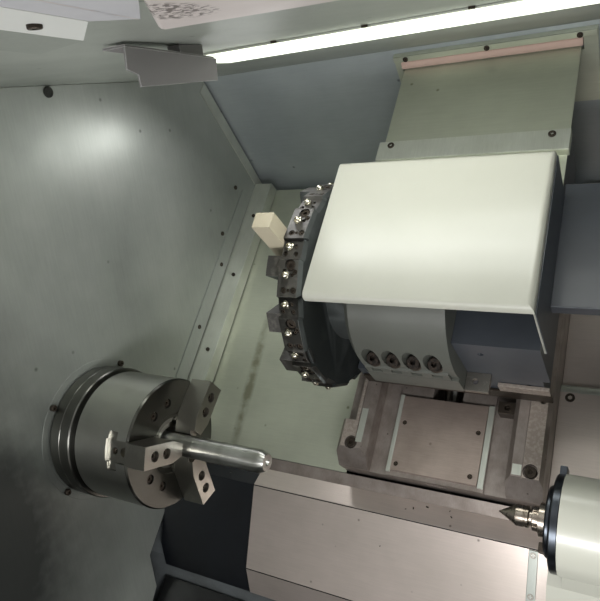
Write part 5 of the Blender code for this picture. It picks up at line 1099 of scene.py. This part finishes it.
def roofHeight(y):
    return 556 + roofSlope * (y + 300)


def makeRoofStrip(name, outline, thick, material, slotName):
    # a plank of lining that follows the roof's fall
    strip = addSheet(name, outline, 0, thick, "z")
    for corner in strip.data.vertices:
        corner.co.z = min(corner.co.z + roofHeight(corner.co.y), 571.9)
    breakEdges(strip, 0.5, 2, 30)
    return settle(strip, levelFrame, "machine", material, slotName)


def makeRoof():
    # the beige header with its cut corner, the lining beside it, the slotted bracket and the lamp's rim
    outline = [(451, -408), (518, -394), (890, -334), (890, -588), (593, -588), (508, -484)]
    header = addSheet("roofHeader", outline, 546, 571.9, "z")
    breakEdges(header, 3.5, 3, 30)
    settle(header, levelFrame, "machine", headerPaint, "chamber_stainless")
    makeRoofStrip("liningBand", [(332, -500), (380, -500), (380, -384), (332, -344)], 2.5, shellPaint,
                  "chamber_stainless")
    makeRoofStrip("liningShade", [(273, -500), (331.6, -500), (331.6, -344), (273, -332)], 5, wallSteel,
                  "chamber_stainless")
    makeRoofStrip("liningBoard", [(381, -500), (500, -500), (497, -486), (446, -413), (404, -366), (381, -384)], 4,
                  liningPaint, "chamber_stainless")
    makeRoofStrip("liningRidge", [(402.6, -500), (405.4, -500), (403.6, -366), (401.6, -366)], 9, headerPaint,
                  "chamber_stainless")
    screw = spread(socketScrew("liningScrew", 4.6, 4, 2.2), "liningScrews",
                   [Matrix.Translation((355, y, roofHeight(y) - 2.4)) @ Matrix.Rotation(math.pi / 2, 4, "Y")
                    for y in (-402, -480)])
    settle(screw, levelFrame, "machine", screwSteel, "dark_steel")
    outline = [(-228, 567.7), (-94.2, 557.4), (-96.6, 535.5), (-215.3, 533), (-216.3, 543.3), (-230, 548.1)]
    plate = addSheet("ceilingBracket", outline, 258, 260.2)
    for y, z in ((-211, 558.3), (-152.6, 552.7)):
        slot = joinPieces("slot", [addBlock("slotMiddle", (250, y - 5, z - 3), (270, y + 5, z + 3)),
                                   addRod("slotEnd", 3, 250, 270, "x", (0, y - 5, z), 24),
                                   addRod("slotEnd", 3, 250, 270, "x", (0, y + 5, z), 24)])
        cutAway(plate, slot)
    breakEdges(plate, 0.5, 2, 40)
    flange = addSheet("bracketFlange", [(-226, 567.2), (-96, 557.2), (-96, 559.4), (-226, 569.4)], 232, 258.4)
    post = addBlock("bracketPost", (236, -142, 560), (252, -104, 571.9))
    breakEdges(post, 1.0)
    settle(joinPieces("ceilingBracket", [plate, flange, post]), levelFrame, "machine", bracketSteel,
           "chamber_stainless", "ceiling_bracket")
    for name, low, high in (("lampRimRear", (143, 95.4, 569.6), (622, 100, 571.9)),
                            ("lampRimFront", (143, -20, 569.6), (622, -15.4, 571.9))):
        rim = addBlock(name, low, high)
        breakEdges(rim, 0.6)
        settle(rim, levelFrame, "machine", brightSheet, "bright_stainless")
    places = [Matrix.Translation((x, y, 569.4)) @ Matrix.Rotation(math.pi / 2, 4, "Y")
              for x in (180, 290, 400, 510, 600) for y in (-24, 104)]
    screws = spread(socketScrew("lampScrew", 3.4, 2.4, 1.6), "lampScrews", places)
    settle(screws, levelFrame, "machine", screwSteel, "dark_steel")


def makeWallTrim():
    # the strip along the wall's leaning edge, the flange at its foot, its screws and the plug
    trim = addSheet("wallCornerTrim", [(637, -238), (660, -238), (713, 84), (688, 84)], -164.8, -162.6)
    breakEdges(trim, 0.8)
    settle(trim, slantFrame, "machine", brightSheet, "bright_stainless")
    flange = addBlock("wallFootFlange", (-164.8, 150, -177.5), (-162.2, 606, -142))
    breakEdges(flange, 1.0)
    settle(flange, slantFrame, "machine", wallSteel, "chamber_stainless")
    places = [Matrix.Translation((-160.4, s, n)) for s, n in ((594, -116), (480, -127), (269, -158), (420, -158))]
    screws = spread(socketScrew("wallScrew", 4.6, 2.6, 2.2), "wallScrews", places)
    settle(screws, slantFrame, "machine", screwSteel, "dark_steel")
    plug = turnPiece("wallPlug", [(8.6, -164.8), (8.6, -162.8), (7.8, -162), (6, -162), (5.2, -163)], "x",
                     (0, 429, 366), 40)
    settle(plug, slantFrame, "machine", rubberPlug, "belt_rubber")
    places = [onto(-138, s, -176.5) for s in (229, 407, 560)]
    screws = spread(socketScrew("edgeStripScrew", 4, 3.2, 1.9), "edgeStripScrews", places)
    settle(screws, slantFrame, "machine", screwSteel, "dark_steel")


makeWalls()
makeLowerCover()
makeChips()
makeRoof()
makeWallTrim()
print("chamber made")


# The tailstock with its quill, rings and live centre


def makeTailstock():
    body = takeNode("tailstock_body", slantFrame)
    body.name = "tailstockBody"
    breakEdges(body, 3.5, 3, 24)
    settle(body, slantFrame, "tailstock", creamPaint, "cream_paint", "tailstock_body")
    ring = turnPiece("quillWiperRing", [(43, 593.4), (56, 593.4), (57, 592), (57, 585), (55.4, 583.4), (43.2, 583.4)],
                     sides=128)
    cutAway(ring, addRod("bore", 42.5, 570, 610, sides=96))
    tab = addBlock("tab", (584.2, 50, -11), (592.8, 66, 11))
    breakEdges(tab, 1.2)
    settle(joinPieces("quillWiperRing", [ring, tab]), slantFrame, "tailstock", quillSteel, "blued_steel")


def makeQuill():
    profile = [(42, 755), (42, 583), (41.2, 582.4), (41.2, 581.6), (42, 581), (42, 578.4), (40.2, 576.4),
               (26, 576.4), (25, 577.6), (16, 577.6), (15.4, 576.4), (9.6, 576.4), (9.5, 626)]
    quill = turnPiece("quill", profile, sides=128)
    settle(quill, slantFrame, "quill_body", quillSteel, "blued_steel", "quill")
    key = addBlock("quillKey", (569.5, -38, -7), (576.6, -26, 7))
    breakEdges(key, 1.4)
    settle(key, slantFrame, "quill_body", screwSteel, "dark_steel")


def makeLiveCentre():
    profile = [(9, 615), (9, 576), (19.6, 576), (20, 575.6), (20, 567.6), (19.6, 567.2), (12, 567.2), (10, 566.6),
               (10, 565.4), (12.6, 564.8), (13, 564.2), (13, 561), (9.8, 560.4), (9.8, 556), (12.4, 555.4),
               (13, 554.6), (13, 551.5), (12.4, 551), (12.4, 550), (13, 549.5), (13, 541), (12.2, 539.6), (0.5, 519.3),
               (0.2, 519.1)]
    centre = turnPiece("liveCentre", profile, sides=72)
    settle(centre, slantFrame, "centre", centreSteel, "bright_steel", "live_centre")
    nut = turnPiece("centreNut", [(15, 567), (15, 566.4), (15, 560), (14, 559.4), (10.2, 559.4)], sides=48)
    for turned in range(6):
        notch = addBlock("notch", (556, 12.6, -2.2), (570, 18, 2.2))
        notch.matrix_world = around(turned * 60 + 12)
        cutAway(nut, notch)
    breakEdges(nut, 0.5)
    settle(nut, slantFrame, "centre", centreSteel, "bright_steel")


makeTailstock()
makeQuill()
makeLiveCentre()
print("tailstock made")


# The casing, door and console round the chamber

casingSizes = {"seam": 1.8, "seamDeep": 1.6, "latch": 17, "louvreLong": 190, "louvrePitch": 22, "louvres": 11}


def seamFrame(low, high, axis):
    # four thin blocks round a panel that meet at its corners; the axis is the one that faces out
    half, cutters = casingSizes["seam"] / 2, []
    first, second = [place for place in range(3) if place != axis]
    for run, cross in ((first, second), (second, first)):
        for edge in (low[cross], high[cross]):
            start, end = list(low), list(high)
            start[run], end[run] = low[run] - half, high[run] + half
            start[cross], end[cross] = edge - half, edge + half
            cutters.append(addBlock("seam", start, end))
    return cutters


def louvres(start, axis):
    # a stack of slots with the axis that faces out
    deep = casingSizes["seamDeep"]
    low = [-deep if place == axis else 0 for place in range(3)]
    high = [casingSizes["louvreLong"]] * 3
    high[axis], high[2] = deep, 7
    slot = addBlock("louvre", low, high)
    places = [Matrix.Translation((start[0], start[1], start[2] + casingSizes["louvrePitch"] * step))
              for step in range(casingSizes["louvres"])]
    return spread(slot, "louvres", places)


# quarter-turn latches, one per corner of a panel, sunk in round pockets so that nothing sticks out of the casing
flip = Matrix.Rotation(math.pi, 4, "Z")
latchPlaces = {
    "front_frame": [Matrix.Translation((x, -600, -668)) @ outward.inverted() for x in (-900, 728, 850, 1042)],
    "left_end_cover": [Matrix.Translation((-980, y, z)) @ flip for y in (50, 170) for z in (-500, 400)],
    "right_end_cover": [Matrix.Translation((1120, y, z)) for y in (50, 170) for z in (-500, 400)],
    "rear_cover": [Matrix.Translation((x, 840, z)) @ outward
                   for x in (-300, -180, 360, 480) for z in (-500, 400)]}


def casingPanel(nodeName, name, cutters):
    panel = takeNode(nodeName, levelFrame)
    panel.name = name
    breakEdges(panel, 1.2, 2, 40)
    cutAway(panel, *cutters)
    if nodeName in latchPlaces:
        pocket = addRod("pocket", casingSizes["latch"] + 1.2, -2.2, 1, "x")
        cutAway(panel, spread(pocket, "pockets", latchPlaces[nodeName]))
    return settle(panel, levelFrame, "machine", shellPaint, "shell_paint", nodeName)


def makeCasing():
    deep = casingSizes["seamDeep"]
    casingPanel("front_frame", "frontFrame", [
        *seamFrame((-952, -600 - deep, -905), (780, -600 + deep, -430), 1),
        *seamFrame((-952, -600 - deep, -400), (780, -600 + deep, 712), 1),
        *seamFrame((800, -600 - deep, -905), (1092, -600 + deep, 30), 1)])
    casingPanel("left_end_cover", "leftEndCover", [
        *seamFrame((-980 - deep, -520, -880), (-980 + deep, 90, 660), 0),
        *seamFrame((-980 - deep, 130, -880), (-980 + deep, 760, 660), 0),
        louvres((-980, -310, -760), 0), louvres((-980, 350, -760), 0)])
    casingPanel("right_end_cover", "rightEndCover", [
        *seamFrame((1120 - deep, -520, -880), (1120 + deep, 90, 660), 0),
        *seamFrame((1120 - deep, 130, -880), (1120 + deep, 760, 660), 0), louvres((1120, 350, 330), 0)])
    casingPanel("rear_cover", "rearCover", [
        *seamFrame((-930, 840 - deep, -880), (-260, 840 + deep, 690), 1),
        *seamFrame((-220, 840 - deep, -880), (400, 840 + deep, 690), 1),
        *seamFrame((440, 840 - deep, -880), (1070, 840 + deep, 690), 1),
        louvres((-690, 840, 330), 1), louvres((660, 840, 330), 1)])
    casingPanel("roof_cover", "roofCover", [
        *seamFrame((-940, -530, 740 - deep), (60, 770, 740 + deep), 2),
        *seamFrame((100, -530, 740 - deep), (1080, 770, 740 + deep), 2)])
    radius = casingSizes["latch"]
    latch = turnPiece("latch", [(radius, -2.5), (radius, -1.2), (radius - 1.2, -0.1), (6, -0.1), (5.4, -0.9),
                                (0.5, -0.9)], sides=40)
    cutAway(latch, addBlock("key", (-1.8, -5, -0.9), (1, 5, 0.9)))
    places = [place for panelPlaces in latchPlaces.values() for place in panelPlaces]
    settle(spread(latch, "panelLatches", places), levelFrame, "machine", zincScrew, "bright_steel")


doorSizes = {
    "gasket": ((-824, -645, -104), (-136, -638.5, 456)), "pane": ((-796, -660, -76), (-164, -600, 428)),
    "lip": ((-41, -634, -296), (-34, -618, 548)), "groove": ((-960, -652, 566), (800, -647, 574)),
    "rose": ((17, -1), (17, 3), (15, 5), (9, 5)), "rosePlaces": ((-75, -640, 1), (-75, -640, 251))}


def makeDoor():
    door = takeNode("door_panel", levelFrame)
    door.name = "doorPanel"
    breakEdges(door, 2.5, 3)
    settle(door, levelFrame, "door", shellPaint, "shell_paint", "door_panel")
    gasket = addBlock("windowGasket", *doorSizes["gasket"])
    cutAway(gasket, addBlock("pane", *doorSizes["pane"]))
    breakEdges(gasket, 2.2, 3)
    settle(gasket, levelFrame, "door", rubberPlug, "belt_rubber")
    lip = addBlock("doorLip", *doorSizes["lip"])
    breakEdges(lip, 2)
    settle(lip, levelFrame, "door", rubberPlug, "belt_rubber")
    handle = takeNode("door_handle", levelFrame)
    handle.name = "doorHandle"
    breakEdges(handle, 1.6, 2, 20)
    settle(handle, levelFrame, "door", quillSteel, "blued_steel", "door_handle")
    rose = turnPiece("rose", doorSizes["rose"], sides=40)
    places = [Matrix.Translation(place) @ outward.inverted() for place in doorSizes["rosePlaces"]]
    settle(spread(rose, "handleRoses", places), levelFrame, "door", quillSteel, "blued_steel")
    track = takeNode("door_track", levelFrame)
    track.name = "doorTrack"
    cutAway(track, addBlock("groove", *doorSizes["groove"]))
    breakEdges(track, 1.5)
    settle(track, levelFrame, "machine", brightSheet, "chamber_stainless", "door_track")


consoleSizes = {
    "front": -676, "tray": ((830, -677, 176), (1020, -674, 290)),
    "screen": ((834, -675.4, 314), (1066, -672, 486)), "key": ((0, -677.5, 0), (14.5, -673, 13)),
    "firstKey": (835, 181), "keyAcross": 18.4, "keyUp": 18, "keyColumns": 10, "keyRows": 6,
    "wheel": ((27, -1), (27, 9), (25, 12), (19, 12), (17, 9), (0.6, 9)), "wheelPlace": (878, 120),
    "notches": 24, "notch": 1.3, "notchPlace": 27.4,
    "knob": ((11, -1), (11, 10), (10, 12), (0.6, 12)), "knobPlaces": ((940, 138), (980, 138), (1050, 220)),
    "button": ((7.5, -1), (7.5, 3.4), (6.5, 4.4), (0.6, 4.4)),
    "buttonPlaces": ((932, 98), (952, 98), (972, 98), (992, 98))}


def onConsole(x, z):
    return Matrix.Translation((x, consoleSizes["front"], z)) @ outward.inverted()


def makeConsole():
    sizes = consoleSizes
    console = takeNode("control_panel", levelFrame)
    console.name = "controlPanel"
    cutAway(console, addBlock("tray", *sizes["tray"]))
    breakEdges(console, 1.2, 2, 40)
    settle(console, levelFrame, "machine", slatePaint, "slate_paint", "control_panel")
    screen = addBlock("consoleScreen", *sizes["screen"])
    breakEdges(screen, 1.0)
    settle(screen, levelFrame, "machine", screenGlass, "window_glass")
    key = addBlock("key", *sizes["key"])
    breakEdges(key, 1.4)
    left, low = sizes["firstKey"]
    places = [Matrix.Translation((left + sizes["keyAcross"] * column, 0, low + sizes["keyUp"] * row))
              for row in range(sizes["keyRows"]) for column in range(sizes["keyColumns"])]
    settle(spread(key, "consoleKeys", places), levelFrame, "machine", keyPlastic, "shell_paint")
    wheel = turnPiece("jogWheel", sizes["wheel"], sides=64)
    for step in range(sizes["notches"]):
        turned = step * math.tau / sizes["notches"]
        centre = (0, sizes["notchPlace"] * math.cos(turned), sizes["notchPlace"] * math.sin(turned))
        cutAway(wheel, addRod("notch", sizes["notch"], -2, 13, "x", centre, 12))
    wheel.matrix_world = onConsole(*sizes["wheelPlace"])
    settle(wheel, levelFrame, "machine", keyPlastic, "shell_paint")
    knob = turnPiece("knob", sizes["knob"], sides=32)
    places = [onConsole(*place) for place in sizes["knobPlaces"]]
    settle(spread(knob, "consoleKnobs", places), levelFrame, "machine", beltRubber, "belt_rubber")
    button = turnPiece("button", sizes["button"], sides=32)
    places = [onConsole(*place) for place in sizes["buttonPlaces"]]
    settle(spread(button, "consoleButtons", places), levelFrame, "machine", keyPlastic, "shell_paint")


makeCasing()
makeDoor()
makeConsole()
print("casing made")


# Camera, lights and floor

view = {"place": (678.6, -681.0, 504.3), "target": (188.0, 138.9, 209.2), "roll": -6.66, "focal": 38.26}
cameraData = bpy.data.cameras.new("photoCamera")
cameraData.lens = view["focal"]
cameraData.clip_start = 0.01
camera = bpy.data.objects.new("photoCamera", cameraData)
bpy.context.scene.collection.objects.link(camera)
cameraPlace = levelFrame @ Vector(view["place"])
lookLine = levelFrame @ Vector(view["target"]) - cameraPlace
turn = lookLine.to_track_quat("-Z", "Y").to_matrix().to_4x4()
camera.matrix_world = Matrix.Translation(cameraPlace) @ turn @ Matrix.Rotation(math.radians(view["roll"]), 4, "Z")
bpy.context.scene.camera = camera

lamps = {
    # name: place, target (both in mm from the chuck's face), width, height (mm), watts
    "roomKey": ((1300, -1150, 3300), (300, 0, 100), 2600, 1800, 38),
    "roomFill": ((-2200, -1900, 900), (0, 0, 0), 1800, 1600, 25),
    "roomRear": ((600, 2800, 1800), (0, 0, -100), 2200, 1700, 38),
    "roomRight": ((3200, 300, 1300), (0, 0, 0), 1800, 1600, 28),
    "lampStrip": ((382, 40, 566), (382, 41, 0), 475, 110, 0.7),
    "stripRear": ((382, 60, 528), (340, 560, 200), 470, 80, 0.45),
    "chamberTop": ((440, -330, 528), (350, -60, -260), 700, 300, 0.35),
    "chuckTop": ((60, 260, 480), (-60, 0, 60), 240, 90, 0.4),
    "ceilingBounce": ((330, -430, 60), (330, -330, 560), 620, 300, 1.7),
    "lowerRight": ((620, -560, 40), (430, -150, -200), 320, 150, 4.0),
}


def addLamp(name, place, target, width, height, watts):
    light = bpy.data.lights.new(name, "AREA")
    light.shape = "RECTANGLE"
    light.size = width * mm
    light.size_y = height * mm
    light.energy = watts
    lamp = bpy.data.objects.new(name, light)
    bpy.context.scene.collection.objects.link(lamp)
    start = levelFrame @ Vector(place)
    aim = levelFrame @ Vector(target) - start
    lamp.matrix_world = Matrix.Translation(start) @ aim.to_track_quat("-Z", "Y").to_matrix().to_4x4()
    lamp.visible_camera = False
    lamp.visible_transmission = False
    return lamp


for lampName, values in lamps.items():
    addLamp(lampName, *values)

world = bpy.data.worlds.new("paleRoom")
bpy.context.scene.world = world
world.use_nodes = True
world.node_tree.nodes["Background"].inputs["Color"].default_value = linearColour("#f3f3f1")
world.node_tree.nodes["Background"].inputs["Strength"].default_value = 0.42
# the eye sees a plain white room, while the parts are lit by a dimmer one
seen = addNode(world.node_tree, "ShaderNodeBackground", {"Color": linearColour("#ffffff"), "Strength": 1.0}, {})
straight = addNode(world.node_tree, "ShaderNodeLightPath", {}, {})
room = addNode(world.node_tree, "ShaderNodeMixShader", {},
               {0: straight.outputs["Is Camera Ray"], 1: world.node_tree.nodes["Background"].outputs[0],
                2: seen.outputs[0]})
world.node_tree.links.new(room.outputs[0], world.node_tree.nodes["World Output"].inputs["Surface"])

clearSelection()
bpy.ops.mesh.primitive_plane_add(size=14, location=(0, 0, -0.0005))
floor = bpy.context.object
floor.name = "paleFloor"
floor.data.materials.append(plainFinish("paleFloorFinish", {
    "Base Color": linearColour("#e9e9e6"), "Roughness": 0.6}, 40, 0.02))
bpy.context.scene.view_settings.view_transform = "Standard"
print("camera, lamps and floor set")
